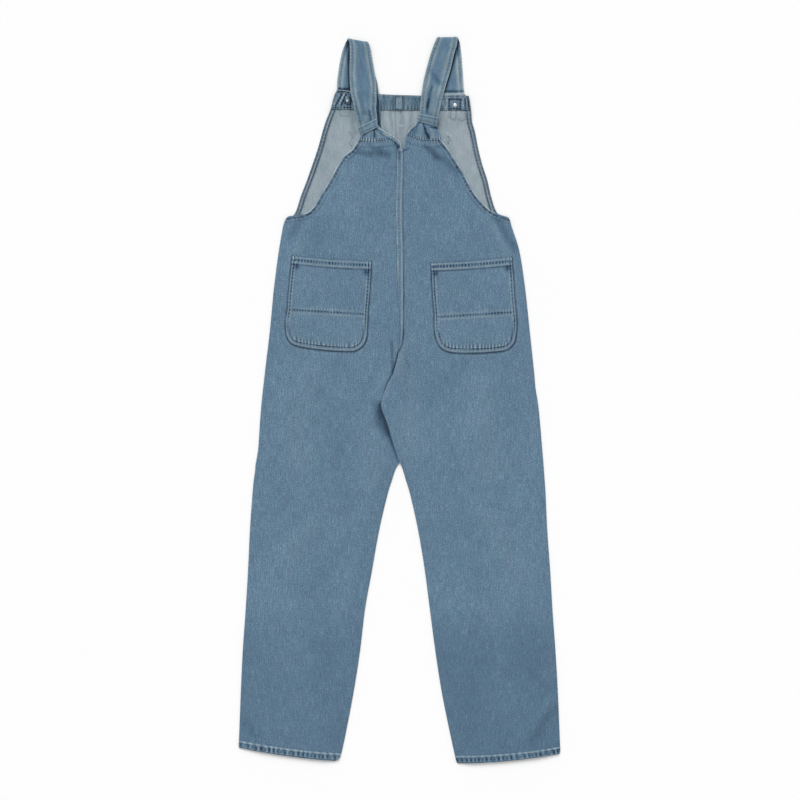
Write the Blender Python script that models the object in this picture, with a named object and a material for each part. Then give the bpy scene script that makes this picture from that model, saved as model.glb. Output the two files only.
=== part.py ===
# Denim bib overalls laid flat on their front, with the back side up.
# X runs across, +Y up the garment to the straps, +Z away from the surface. Sizes are in millimetres.
from collections import namedtuple
from math import cos, exp, hypot, pi, sin

import bmesh
import bpy
from mathutils import Vector

METRE = 0.001

# Cloth and seams
SEAM_GAP = 0.3
FRONT_WALL = 1.2
BACK_WALL = 1.4
STRAP_WALL = 1.4
PATCH_WALL = 1.3
TURNED_CLOTH = 0.9
LAP_FOLD = 1.2
BASE_FOLD = 0.9
BASE_FOLDS = 3
KEEPER_BOW = 0.35

# How the back lies on the front
EDGE_TOP = 3.1
CROWN = 2.6
NECK_CROWN = 0.6
OUTER_ROUND = 60.0
INNER_ROUND = 40.0
EDGE_STRIP = 44.0
CROTCH_START = 60.0
CROTCH_END = -150.0
LAP_MARGIN = 1.5
LAP_DROP = 7.0
LAP_LEAST = 12.0
CROTCH = -140.0
FOLD_TOP = 110.0
FOLD_BOTTOM = -140.0
FOLD_FADE = 60.0
PARTED_FROM = -134.0
PARTED_FADE = 50.0
NECK_HEIGHT = 560.0
NECK_FADE = 240.0

# Seams that cross the garment
WAIST = 350.0
LEG_HEM = 15.5
HEM_STEP = 1.5
BIB_HEM = 9.0
BIB_HEM_END = 412.0
BIB_HEM_FADE = 16.0
POCKET_MOUTH = 16.0

# Bib top and its buttons
BAND_TOP = 638.0
BAND_HEIGHT = 29.0
BAND_INSET = 0.008
BAND_RUN_ON = 10.0
BAND_RAMP = 6.0
BIB_RUN_ON = 8.0
BIB_RAMP = 22.0
TAB_WIDTH = 15.0
TAB_CENTRE = -2.0
BUTTON_LIFT = 4.0
LIFT_FADE = 32.0
REST_MARGIN = 0.4
CAP_RADIUS = 4.3
CAP_HEIGHT = 1.5
HEAD_RADIUS = 8.5
HEAD_HEIGHT = 2.0
ROUND_SEGMENTS = 20

# Cells across the plain pieces
LEG_COLUMNS = 6
POCKET_COLUMNS = 10
STRAP_COLUMNS = 5
BASE_COLUMNS = 12

Row = namedtuple("Row", "steps left_x left_y right_x right_y sag")
Band = namedtuple("Band", "steps left_x left_y right_x right_y left_z right_z")
Crease = namedtuple("Crease", "x1 y1 x2 y2 width height")
Button = namedtuple("Button", "side x y lift_left lift_right lift_bottom")

# Left back panel, from the strap base seam to the leg hem. Its right edge runs on under the lap.
BACK_LEFT = (
    Row(0, -88, 545, -9, 549, 4),
    Row(1, -97, 531, 1, 541, 2),
    Row(1, -104, 523, 4, 526, 0),
    Row(1, -117, 513, 6, 510, 0),
    Row(1, -131, 492, 6, 491, 0),
    Row(2, -150, 457, 6, 457, 0),
    Row(1, -169, 427, 6, 427, 0),
    Row(1, -182, 405, 6, 405, 0),
    Row(1, -194, 394, 6, 393, 0),
    Row(1, -209, 389, 6, 382, 0),
    Row(1, -231, 384, 6, 372, 0),
    Row(1, -244, 367, 6, 358, 0),
    Row(2, -254, 315, 6, 315, 0),
    Row(3, -265, 231, 6, 231, 0),
    Row(3, -273, 147, 7, 147, 0),
    Row(3, -283, 63, 5, 63, 0),
    Row(3, -292, -21, 1, -21, 0),
    Row(3, -298, -105, 0, -105, 0),
    Row(1, -302, -132, 0, -132, 0),
    Row(2, -309, -189, -23, -189, 0),
    Row(2, -315, -273, -44, -273, 0),
    Row(2, -319, -357, -59, -357, 0),
    Row(2, -324, -441, -74, -441, 0),
    Row(2, -330, -525, -84, -525, 0),
    Row(2, -334, -609, -97, -609, 0),
    Row(2, -338, -730 + LEG_HEM + HEM_STEP, -123, -757 + LEG_HEM + HEM_STEP, 2),
    Row(1, -338, -730 + LEG_HEM, -124, -757 + LEG_HEM, 2),
    Row(1, -339, -730, -129, -757, 3),
)

# Right back panel. Its left edge is the felled seam's upper edge, then the fold over the crotch.
BACK_RIGHT = (
    Row(0, 13, 557, 86, 546, 7),
    Row(1, 9, 541, 95, 535, 3),
    Row(1, 6, 527, 103, 525, 0),
    Row(1, -6, 523, 108, 517, 0),
    Row(1, -6, 505, 117, 503, 0),
    Row(2, -6, 473, 135, 473, 0),
    Row(1, -6, 440, 153, 440, 0),
    Row(1, -6, 418, 171, 416, 0),
    Row(1, -6, 399, 191, 398, 0),
    Row(1, -6, 390, 206, 387, 0),
    Row(1, -6, 380, 226, 380, 0),
    Row(1, -6, 365, 234, 370, 0),
    Row(2, -6, 315, 250, 315, 0),
    Row(3, -4, 231, 263, 231, 0),
    Row(3, 1, 147, 272, 147, 0),
    Row(2, -3, 100, 277, 100, 0),
    Row(2, -17, 52, 282, 52, 0),
    Row(2, -29, 28, 284, 28, 0),
    Row(2, -40, -10, 290, -10, 0),
    Row(2, -27, -50, 294, -50, 0),
    Row(2, -9, -110, 299, -110, 0),
    Row(1, 4, -147, 302, -147, 0),
    Row(1, 19, -189, 305, -189, 0),
    Row(2, 38, -273, 309, -273, 0),
    Row(2, 52, -357, 315, -357, 0),
    Row(2, 63, -441, 320, -441, 0),
    Row(2, 74, -525, 326, -525, 0),
    Row(2, 87, -609, 331, -609, 0),
    Row(2, 115, -762 + LEG_HEM + HEM_STEP, 336, -746 + LEG_HEM + HEM_STEP, 2),
    Row(1, 116, -762 + LEG_HEM, 336, -746 + LEG_HEM, 2),
    Row(1, 119, -762, 337, -743, 6),
)

# Front bib under the back, between its side edges
BIB = (
    Row(0, -137, 641, 144, 637, -3),
    Row(1, -138, BAND_TOP, 145, 634, -2),
    Row(3, -146, 609, 149, 607, 0),
    Row(1, -148, 607, 149, 605, 0),
    Row(3, -155, 587, 151, 586, 0),
    Row(3, -162, 565, 157, 564, 0),
    Row(1, -172, 529, 164, 529, 0),
    Row(1, -183, 496, 172, 496, 0),
    Row(1, -195, 462, 183, 462, 0),
    Row(1, -208, 428, 191, 428, 0),
    Row(1, -213, 410, 196, 410, 0),
    Row(1, -220, 395, 204, 395, 0),
    Row(1, -236, 372, 226, 372, 0),
    Row(1, -243, WAIST + SEAM_GAP, 236, WAIST + SEAM_GAP, 0),
)

# Strap bases, from the keeper to the puckered seam
BASE_LEFT = (
    Row(0, -84.1, 563.4, -47.8, 580.6, 0),
    Row(1, -82, 557, -43, 571, 0),
    Row(1, -83, 552, -25, 560, 2),
    Row(1, -87.8, 545.4, -9.2, 549.4, 4),
)
BASE_RIGHT = (
    Row(0, 38.6, 591.8, 78.9, 582.3, 0),
    Row(1, 35, 582, 79, 571, 0),
    Row(1, 21, 569, 84, 560, 3),
    Row(1, 13.2, 557.4, 85.8, 546.4, 7),
)

# Straps, from the button end under the bib, over the fold at the top, to the keeper
STRAP_LEFT = (
    Band(0, -131, 613, -82, 613, 3.0, 3.0),
    Band(2, -131, 643, -82, 643, 3.0, 3.0),
    Band(1, -132, 661, -81, 660, 2.2, 2.2),
    Band(1, -129, 691, -79, 687, 0.9, 0.9),
    Band(2, -122, 729, -71, 722, 0.7, 0.7),
    Band(1, -114, 750, -65, 742, 0.7, 0.7),
    Band(1, -111.5, 757, -64, 750, 0.9, 0.9),
    Band(2, -110, 760.4, -64, 753.5, 2.6, 2.6),
    Band(2, -108, 757, -64.5, 749, 4.4, 4.4),
    Band(1, -105.5, 745, -62, 738, 4.2, 4.2),
    Band(1, -105, 723, -59, 717, 3.2, 3.2),
    Band(2, -106, 689, -54, 689, 3.1, 3.0),
    Band(2, -105, 661, -50, 660, 5.6, 4.7),
    Band(2, -103, 644, -50, 641, 8.0, 5.8),
    Band(1, -99, 625, -50, 626, 8.1, 5.8),
    Band(1, -96, 609, -51, 613, 8.0, 5.6),
    Band(1, -91, 590, -50, 603, 6.0, 4.8),
    Band(2, -84, 564, -47.7, 581.3, 2.9, 2.7),
)
STRAP_RIGHT = (
    Band(0, 84, 607, 134, 607, 3.0, 3.0),
    Band(2, 84, 640, 134, 640, 3.0, 3.0),
    Band(1, 83, 655, 133, 656, 2.2, 2.2),
    Band(1, 81, 690, 131, 692, 0.9, 0.9),
    Band(2, 78, 727, 128, 729, 0.7, 0.7),
    Band(1, 76, 748, 125, 750, 0.7, 0.7),
    Band(1, 77, 755, 123, 756, 0.9, 0.9),
    Band(2, 77.3, 760.4, 121, 761.2, 2.6, 2.6),
    Band(2, 76, 757, 120.5, 757, 4.4, 4.4),
    Band(1, 72, 748, 119, 745, 4.2, 4.2),
    Band(1, 64, 727, 114, 729, 3.2, 3.2),
    Band(2, 54, 691, 105, 691, 3.0, 3.1),
    Band(2, 47, 665, 97, 664, 4.4, 5.6),
    Band(2, 45, 642, 90, 642, 5.6, 8.0),
    Band(1, 43, 628, 85, 628, 5.6, 8.0),
    Band(1, 42.5, 615, 83, 612, 5.2, 8.0),
    Band(1, 41, 604, 80, 595, 4.2, 6.2),
    Band(2, 38.7, 592.3, 78.8, 582.8, 2.8, 4.2),
)

# Back pockets, mouth first
POCKET_LEFT = (
    Row(0, -225.5, 302, -60.5, 290, 2),
    Row(2, -227.5, 302 - POCKET_MOUTH, -60.5, 290 - POCKET_MOUTH, 2),
    Row(1, -227.7, 302 - POCKET_MOUTH - HEM_STEP, -60.6, 290 - POCKET_MOUTH - HEM_STEP, 2),
    Row(2, -234, 222, -64, 218, 0),
    Row(1, -236, 192, -67, 182, 0),
    Row(1, -236, 190, -67, 180, 0),
    Row(1, -240, 163, -68, 158, 0),
    Row(1, -239, 141, -69, 137, 0),
    Row(1, -230, 122, -77, 117, 0),
    Row(1, -212, 113, -95, 102, 3),
)
POCKET_RIGHT = (
    Row(0, 65.5, 287, 234.5, 299, 2),
    Row(2, 66, 287 - POCKET_MOUTH, 236, 299 - POCKET_MOUTH, 2),
    Row(1, 66, 287 - POCKET_MOUTH - HEM_STEP, 236, 299 - POCKET_MOUTH - HEM_STEP, 2),
    Row(2, 68, 222, 240, 222, 0),
    Row(1, 72, 176, 243, 187, 0),
    Row(1, 72, 174, 243, 185, 0),
    Row(1, 72, 155, 245, 158, 0),
    Row(1, 74, 135, 243, 134, 0),
    Row(1, 84, 112, 233, 113, 0),
    Row(1, 106, 100, 217, 103, 2),
)

# Shares across the bib, closer together where its lift over the strap ends fades
BIB_COLUMNS = (
    0.11, 0.20, 0.23, 0.26, 0.29, 0.32, 0.36, 0.42, 0.48,
    0.54, 0.60, 0.65, 0.68, 0.71, 0.74, 0.77, 0.80, 0.89,
)

BUTTONS = (
    Button("left", -110.5, 627, -137, -80, 611),
    Button("right", 115.5, 618, 80, 137, 605),
)

# Largest soft ridges, and troughs with a height below nothing
CREASES = (
    Crease(-40, 330, -48, 250, 26, 0.5),
    Crease(-150, 360, -175, 320, 20, -0.5),
    Crease(150, 365, 172, 322, 20, -0.5),
    Crease(40, 120, 20, 40, 20, 0.6),
    Crease(-120, 60, -60, 10, 24, -0.6),
    Crease(-190, 40, -210, -120, 30, 0.7),
    Crease(-130, -60, -110, -230, 24, -0.6),
    Crease(130, 70, 70, 0, 24, -0.6),
    Crease(170, 30, 190, -150, 30, 0.7),
    Crease(110, -120, 130, -260, 24, -0.5),
    Crease(-180, -270, -230, -330, 26, 0.6),
    Crease(-130, -330, -190, -400, 24, -0.5),
    Crease(190, -260, 240, -350, 26, 0.6),
    Crease(130, -340, 190, -420, 24, -0.5),
    Crease(-220, -440, -210, -640, 30, 0.6),
    Crease(200, -450, 215, -640, 30, 0.6),
)

DENIM = ("denim", (0.127, 0.209, 0.292), 0.9, 0.0)
DENIM_INSIDE = ("denim_inside", (0.305, 0.371, 0.407), 0.92, 0.0)
DENIM_BAND = ("denim_band", (0.087, 0.144, 0.195), 0.9, 0.0)
STEEL = ("button_metal", (0.70, 0.71, 0.72), 0.28, 1.0)


# Basic curves
def smooth(share):
    share = min(1.0, max(0.0, share))
    return share * share * (3 - 2 * share)


def mix(first, second, share):
    return first + (second - first) * share


def even_slope(before, after):
    if before * after <= 0:
        return 0.0
    return 2 * before * after / (before + after)


def between_rows(rows, index, share):
    """One row between two table rows, with no overshoot in any column."""
    values = []
    for column in range(1, len(rows[0])):
        here = rows[index][column]
        there = rows[index + 1][column]
        rise = there - here
        before = rise if index == 0 else here - rows[index - 1][column]
        last = index + 2 == len(rows)
        after = rise if last else rows[index + 2][column] - there
        start = even_slope(before, rise)
        end = even_slope(rise, after)
        squared = share * share
        cubed = squared * share
        value = (2 * cubed - 3 * squared + 1) * here + (cubed - 2 * squared + share) * start
        value += (3 * squared - 2 * cubed) * there + (cubed - squared) * end
        values.append(value)
    return type(rows[0])(1, *values)


def all_rows(rows):
    dense = [rows[0]]
    for index in range(len(rows) - 1):
        steps = rows[index + 1].steps
        for step in range(1, steps + 1):
            dense.append(between_rows(rows, index, step / steps))
    return dense


def row_point(row, share):
    x = mix(row.left_x, row.right_x, share)
    y = mix(row.left_y, row.right_y, share) - row.sag * 4 * share * (1 - share)
    return x, y


def edge_x(rows, side, y):
    """Where a panel's left or right edge crosses a height."""
    x_name = side + "_x"
    y_name = side + "_y"
    if y >= getattr(rows[0], y_name):
        return getattr(rows[0], x_name)
    for above, below in zip(rows, rows[1:]):
        top = getattr(above, y_name)
        bottom = getattr(below, y_name)
        if bottom <= y <= top:
            share = 0.0 if top == bottom else (top - y) / (top - bottom)
            return mix(getattr(above, x_name), getattr(below, x_name), share)
    return getattr(rows[-1], x_name)


# Surface of the garment's back
LEFT_ROWS = all_rows(BACK_LEFT)
RIGHT_ROWS = all_rows(BACK_RIGHT)


def crease_height(x, y):
    height = 0.0
    for crease in CREASES:
        run_x = crease.x2 - crease.x1
        run_y = crease.y2 - crease.y1
        length = hypot(run_x, run_y)
        along = ((x - crease.x1) * run_x + (y - crease.y1) * run_y) / length
        across = ((x - crease.x1) * run_y - (y - crease.y1) * run_x) / length
        beyond = max(0.0, -along, along - length)
        height += crease.height * exp(-(across ** 2 + beyond ** 2) / crease.width ** 2)
    return height


def crown_top(x, y, outer, inner):
    """Top of one back layer whose outer edge and inner edge lie at these distances."""
    apart = smooth((CROTCH_START - y) / (CROTCH_START - CROTCH_END))
    full = mix(NECK_CROWN, CROWN, smooth((NECK_HEIGHT - y) / NECK_FADE))
    rise = smooth(outer / OUTER_ROUND) * (1 - apart * (1 - smooth(inner / INNER_ROUND)))
    return EDGE_TOP + rise * (full + crease_height(x, y))


def left_top(x, y):
    outer = x - edge_x(LEFT_ROWS, "left", y)
    inner = edge_x(LEFT_ROWS, "right", y) - x
    return crown_top(x, y, outer, inner)


def lap_line(y):
    seam = edge_x(LEFT_ROWS, "right", y) + LAP_MARGIN
    return max(seam, edge_x(RIGHT_ROWS, "left", y) + LAP_LEAST)


def lap_share(x, y):
    """One where the right panel lies on the left one, nothing beyond the felled seam."""
    over = 1 - smooth((x - lap_line(y)) / LAP_DROP)
    parted = smooth((PARTED_FROM - y) / PARTED_FADE)
    return over * (1 - parted)


def fold_share(y):
    return smooth((FOLD_TOP - y) / FOLD_FADE) * smooth((y - FOLD_BOTTOM) / FOLD_FADE)


def right_top(x, y):
    outer = edge_x(RIGHT_ROWS, "right", y) - x
    inner = x - edge_x(RIGHT_ROWS, "left", y)
    alone = crown_top(x, y, outer, inner)
    share = lap_share(x, y)
    seam = edge_x(LEFT_ROWS, "right", y)
    under = max(left_top(min(x, seam), y), EDGE_TOP)
    raised = mix(alone, under, share)
    return raised + share * (SEAM_GAP + BACK_WALL + LAP_FOLD * fold_share(y))


def back_top(x, y):
    return right_top(x, y) if x > lap_line(y) else left_top(x, y)


def bib_lift(x, y):
    """How far a strap end and button head hold the bib off the surface."""
    height = 0.0
    for button in BUTTONS:
        aside = max(0.0, button.lift_left - x, x - button.lift_right)
        below = max(0.0, button.lift_bottom - y)
        height = max(height, BUTTON_LIFT * smooth(1 - hypot(aside, below) / LIFT_FADE))
    return height


def strap_rest(x, y):
    """Height of a strap's middle where it lies on the bib and its band."""
    on_band = smooth((y - BAND_TOP + BAND_HEIGHT + BAND_RUN_ON) / BAND_RAMP)
    on_bib = 1 - smooth((y - BAND_TOP - BIB_RUN_ON) / BIB_RAMP)
    under = bib_lift(x, y) + FRONT_WALL + on_band * (FRONT_WALL + SEAM_GAP)
    return under * on_bib + SEAM_GAP + REST_MARGIN + STRAP_WALL / 2


# Solids
def paint(spec):
    name, colour, roughness, metallic = spec
    material = bpy.data.materials.get(name) or bpy.data.materials.new(name)
    material.use_nodes = True
    shader = material.node_tree.nodes["Principled BSDF"]
    shader.inputs["Base Color"].default_value = (*colour, 1.0)
    shader.inputs["Roughness"].default_value = roughness
    shader.inputs["Metallic"].default_value = metallic
    material.diffuse_color = (*colour, 1.0)
    return material


def add_object(name, build, material):
    mesh = bpy.data.meshes.new(name)
    bmesh.ops.recalc_face_normals(build, faces=build.faces)
    build.to_mesh(mesh)
    build.free()
    mesh.materials.append(paint(material))
    piece = bpy.data.objects.new(name, mesh)
    bpy.context.scene.collection.objects.link(piece)
    return piece


def cloth_solid(name, lower, upper, material):
    """A closed wall between two grids of points that match row by row."""
    build = bmesh.new()
    layers = []
    for grid in (lower, upper):
        layers.append([[build.verts.new(Vector(point) * METRE) for point in line] for line in grid])
    under, over = layers
    rows = len(lower)
    columns = len(lower[0])
    for row in range(rows - 1):
        for column in range(columns - 1):
            for layer in (under, over):
                first = layer[row][column]
                second = layer[row][column + 1]
                third = layer[row + 1][column + 1]
                fourth = layer[row + 1][column]
                build.faces.new((first, second, third))
                build.faces.new((first, third, fourth))
    rim = [(0, column) for column in range(columns)]
    rim += [(row, columns - 1) for row in range(1, rows)]
    rim += [(rows - 1, column) for column in range(columns - 2, -1, -1)]
    rim += [(row, 0) for row in range(rows - 2, 0, -1)]
    for here, there in zip(rim, rim[1:] + rim[:1]):
        build.faces.new(
            (under[here[0]][here[1]], under[there[0]][there[1]], over[there[0]][there[1]])
        )
        build.faces.new(
            (under[here[0]][here[1]], over[there[0]][there[1]], over[here[0]][here[1]])
        )
    return add_object(name, build, material)


def level_sheet(name, grid, bottom, thickness, material):
    """Cloth over a grid of (x, y) places, from its bottom height and its thickness there."""
    lower = []
    upper = []
    for row, line in enumerate(grid):
        floor = [(x, y, bottom(x, y)) for x, y in line]
        lower.append(floor)
        upper.append([(x, y, z + thickness(row, x, y)) for x, y, z in floor])
    return cloth_solid(name, lower, upper, material)


def shares_with_edges(width):
    """Shares across a panel, closer together at both edges."""
    edge = [0, 8, 18, 30]
    inner = 7
    places = [place / width for place in edge]
    start = EDGE_STRIP / width
    middle = [mix(start, 1 - start, step / inner) for step in range(inner + 1)]
    return places + middle + [1 - place for place in reversed(places)]


def on_floor(x, y):
    return 0.0


def plain_grid(rows, shares):
    return [[row_point(row, share) for share in shares] for row in rows]


# Front pieces, which lie on the surface
def front_row(row, side):
    """A front leg's row: the back's outer edge, and the centre line above the crotch."""
    centre = -SEAM_GAP / 2 if side == "left" else SEAM_GAP / 2
    if side == "left":
        joined = row.right_y > CROTCH
        return row._replace(right_x=centre) if joined else row
    joined = row.left_y > CROTCH
    return row._replace(left_x=centre) if joined else row


def add_front_leg(side):
    source = LEFT_ROWS if side == "left" else RIGHT_ROWS
    below = [row for row in source if max(row.left_y, row.right_y) < WAIST - 20]
    kept = below[:-1:2] + [below[-1]]
    outer = edge_x(source, side, WAIST)
    if side == "left":
        top = Row(1, outer, WAIST, 0, WAIST, 0)
    else:
        top = Row(1, 0, WAIST, outer, WAIST, 0)
    rows = [front_row(row, side) for row in [top] + kept]
    grid = plain_grid(rows, [step / LEG_COLUMNS for step in range(LEG_COLUMNS + 1)])
    level_sheet("front_leg_" + side, grid, on_floor, lambda row, x, y: FRONT_WALL, DENIM)


def bib_shares(row):
    width = row.right_x - row.left_x
    hem = BIB_HEM / width
    step = 1.5 / width
    return [0, hem, hem + step] + list(BIB_COLUMNS) + [1 - hem - step, 1 - hem, 1]


def bib_grid(rows):
    return [[row_point(row, share) for share in bib_shares(row)] for row in rows]


def over_bib(x, y):
    return bib_lift(x, y) + FRONT_WALL + SEAM_GAP


def over_band(x, y):
    return over_bib(x, y) + FRONT_WALL + SEAM_GAP


def add_bib():
    rows = all_rows(BIB)

    def thickness(row, x, y):
        aside = min(x - edge_x(rows, "left", y), edge_x(rows, "right", y) - x)
        below_band = smooth((BAND_TOP - BAND_HEIGHT - 3 - y) / BAND_RAMP)
        above_back = smooth((y - BIB_HEM_END) / BIB_HEM_FADE)
        turned = TURNED_CLOTH * below_band * above_back
        return FRONT_WALL + (turned if aside < BIB_HEM + 0.5 else 0.0)

    level_sheet("bib", bib_grid(rows), bib_lift, thickness, DENIM_INSIDE)
    add_bib_band(rows[1:5])


def add_bib_band(rows):
    """The facing on the bib's inside and its middle tab, over the bib's own points."""
    grid = []
    for row in rows:
        shares = [BAND_INSET] + bib_shares(row)[1:-1] + [1 - BAND_INSET]
        grid.append([row_point(row, share) for share in shares])
    level_sheet("bib_band", grid, over_bib, lambda row, x, y: FRONT_WALL, DENIM_BAND)
    left = TAB_CENTRE - TAB_WIDTH / 2
    right = TAB_CENTRE + TAB_WIDTH / 2
    heights = [BAND_TOP - BAND_HEIGHT * step / 3 for step in range(4)]
    tab = [[(mix(left, right, share), y) for share in (0, 0.33, 0.67, 1)] for y in heights]
    level_sheet("bib_tab", tab, over_band, lambda row, x, y: FRONT_WALL, DENIM_BAND)


# Back panels
def add_back_left():
    grid = [
        [row_point(row, share) for share in shares_with_edges(row.right_x - row.left_x)]
        for row in LEFT_ROWS
    ]
    hem_start = len(LEFT_ROWS) - 2

    def thickness(row, x, y):
        return BACK_WALL + (TURNED_CLOTH if row >= hem_start else 0.0)

    level_sheet("back_left", grid, lambda x, y: left_top(x, y) - BACK_WALL, thickness, DENIM)


def right_shares(row):
    """Shares across the right panel that follow the lap's edge and its drop."""
    width = row.right_x - row.left_x
    y = mix(row.left_y, row.right_y, 0.1)
    lap = lap_line(y) - row.left_x
    start = lap + LAP_DROP
    places = [0, lap * 0.33, lap * 0.67, lap, lap + LAP_DROP * 0.33, lap + LAP_DROP * 0.67]
    inner = 8
    edge = [30, 18, 8, 0]
    places += [mix(start, width - EDGE_STRIP, step / inner) for step in range(inner + 1)]
    places += [width - place for place in edge]
    return [place / width for place in places]


def add_back_right():
    grid = [[row_point(row, share) for share in right_shares(row)] for row in RIGHT_ROWS]
    hem_start = len(RIGHT_ROWS) - 2

    def wall(x, y):
        return BACK_WALL + LAP_FOLD * fold_share(y) * lap_share(x, y)

    def thickness(row, x, y):
        return wall(x, y) + (TURNED_CLOTH if row >= hem_start else 0.0)

    level_sheet("back_right", grid, lambda x, y: right_top(x, y) - wall(x, y), thickness, DENIM)


def add_pocket(side):
    table = POCKET_LEFT if side == "left" else POCKET_RIGHT
    rows = all_rows(table)
    grid = plain_grid(rows, [step / POCKET_COLUMNS for step in range(POCKET_COLUMNS + 1)])
    mouth_end = 2
    doubled_start = 6

    def thickness(row, x, y):
        turned = row <= mouth_end or row >= doubled_start
        return PATCH_WALL + (TURNED_CLOTH if turned else 0.0)

    def bottom(x, y):
        return back_top(x, y) + SEAM_GAP

    level_sheet("back_pocket_" + side, grid, bottom, thickness, DENIM)


# Straps and what is sewn over them
def band_point(row, share):
    return Vector(
        (
            mix(row.left_x, row.right_x, share),
            mix(row.left_y, row.right_y, share),
            mix(row.left_z, row.right_z, share),
        )
    )


def ribbon(name, middle, wall, material):
    """A band of even thickness about a grid of points in its middle."""
    lower = []
    upper = []
    for row, line in enumerate(middle):
        before = middle[max(row - 1, 0)]
        after = middle[min(row + 1, len(middle) - 1)]
        low_line = []
        high_line = []
        for column, point in enumerate(line):
            along = before[column] - after[column]
            left = line[max(column - 1, 0)]
            right = line[min(column + 1, len(line) - 1)]
            normal = (right - left).cross(along).normalized()
            low_line.append(point - normal * wall / 2)
            high_line.append(point + normal * wall / 2)
        lower.append(low_line)
        upper.append(high_line)
    return cloth_solid(name, lower, upper, material)


def strap_grid(table):
    """Middle points of a strap, whose back run rests on the bib and its band."""
    rows = all_rows(table)
    highest = max(range(len(rows)), key=lambda index: rows[index].left_y)
    grid = []
    for index, row in enumerate(rows):
        line = [band_point(row, step / STRAP_COLUMNS) for step in range(STRAP_COLUMNS + 1)]
        if index > highest + 2:
            for point in line:
                point.z = max(point.z, strap_rest(point.x, point.y))
        grid.append(line)
    return grid


def base_grid(side):
    """Middle points of a pinched strap base, with its soft upright folds."""
    table = BASE_LEFT if side == "left" else BASE_RIGHT
    rows = all_rows([row._replace(steps=max(row.steps, 1) * 2) for row in table])
    strap_end = strap_grid(STRAP_LEFT if side == "left" else STRAP_RIGHT)[-1]
    grid = []
    for index, row in enumerate(rows):
        line = []
        depth = sin(pi * index / (len(rows) - 1))
        for step in range(BASE_COLUMNS + 1):
            share = step / BASE_COLUMNS
            x, y = row_point(row, share)
            start_z = mix(strap_end[0].z, strap_end[-1].z, share)
            rest = mix(start_z, back_top(x, y) - BACK_WALL / 2, smooth(index / 3))
            rest = max(rest, strap_rest(x, y))
            folds = BASE_FOLD * depth * (1 + cos(2 * pi * share * BASE_FOLDS)) / 2
            line.append(Vector((x, y, rest + folds * sin(pi * share))))
        grid.append(line)
    return grid


def keeper_grid(side):
    """Points of a cross piece, lifted from the strap's end and the strap base under it."""
    strap = strap_grid(STRAP_LEFT if side == "left" else STRAP_RIGHT)[-3:]
    base = all_rows(BASE_LEFT if side == "left" else BASE_RIGHT)
    lift = STRAP_WALL / 2 + SEAM_GAP + FRONT_WALL / 2
    grid = []
    for line in strap:
        grid.append([point + Vector((0, 0, lift)) for point in line])
    last = []
    for step, end in enumerate(strap[-1]):
        share = step / STRAP_COLUMNS
        x, y = row_point(base[1], share)
        last.append(Vector((x, y, end.z + BASE_FOLD * sin(pi * share) + lift)))
    grid[0] = [mix(first, second, 0.4) for first, second in zip(grid[0], grid[1])]
    middle = [mix(first, second, 0.5) for first, second in zip(grid[-1], last)]
    grid.append([point + Vector((0, 0, KEEPER_BOW)) for point in middle])
    grid.append(last)
    return grid


def add_strap(side):
    table = STRAP_LEFT if side == "left" else STRAP_RIGHT
    ribbon("strap_" + side, strap_grid(table), STRAP_WALL, DENIM)
    ribbon("strap_base_" + side, base_grid(side), BACK_WALL, DENIM)
    ribbon("keeper_" + side, keeper_grid(side), FRONT_WALL, DENIM)


def add_button(button):
    """Shank button: a low domed cap on the band, and its head under the strap's end."""
    rest = bib_lift(button.x, button.y) + 2 * (FRONT_WALL + SEAM_GAP)
    rings = ((0.0, 1.0), (0.5, 1.0), (0.85, 0.8), (1.0, 0.45))
    add_round("button_cap_" + button.side, button, rest, CAP_RADIUS, CAP_HEIGHT, rings)
    plain = ((0.0, 1.0), (0.75, 1.0), (1.0, 0.9))
    add_round("button_head_" + button.side, button, 0.0, HEAD_RADIUS, HEAD_HEIGHT, plain)


def add_round(name, button, base, radius, height, rings):
    build = bmesh.new()
    loops = []
    for rise, spread in rings:
        loop = []
        for segment in range(ROUND_SEGMENTS):
            angle = 2 * pi * segment / ROUND_SEGMENTS
            place = Vector(
                (
                    button.x + radius * spread * cos(angle),
                    button.y + radius * spread * sin(angle),
                    base + height * rise,
                )
            )
            loop.append(build.verts.new(place * METRE))
        loops.append(loop)
    for low, high in zip(loops, loops[1:]):
        for here in range(ROUND_SEGMENTS):
            there = (here + 1) % ROUND_SEGMENTS
            build.faces.new((low[here], low[there], high[there], high[here]))
    build.faces.new(list(reversed(loops[0])))
    build.faces.new(loops[-1])
    return add_object(name, build, STEEL)


def main():
    for existing in list(bpy.data.objects):
        bpy.data.objects.remove(existing, do_unlink=True)
    add_bib()
    add_back_left()
    add_back_right()
    for side in ("left", "right"):
        add_front_leg(side)
        add_pocket(side)
        add_strap(side)
    for button in BUTTONS:
        add_button(button)


main()
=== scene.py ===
# Washed denim bib overalls, laid flat on their front with the back side up
from collections import namedtuple
from math import pi

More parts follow.
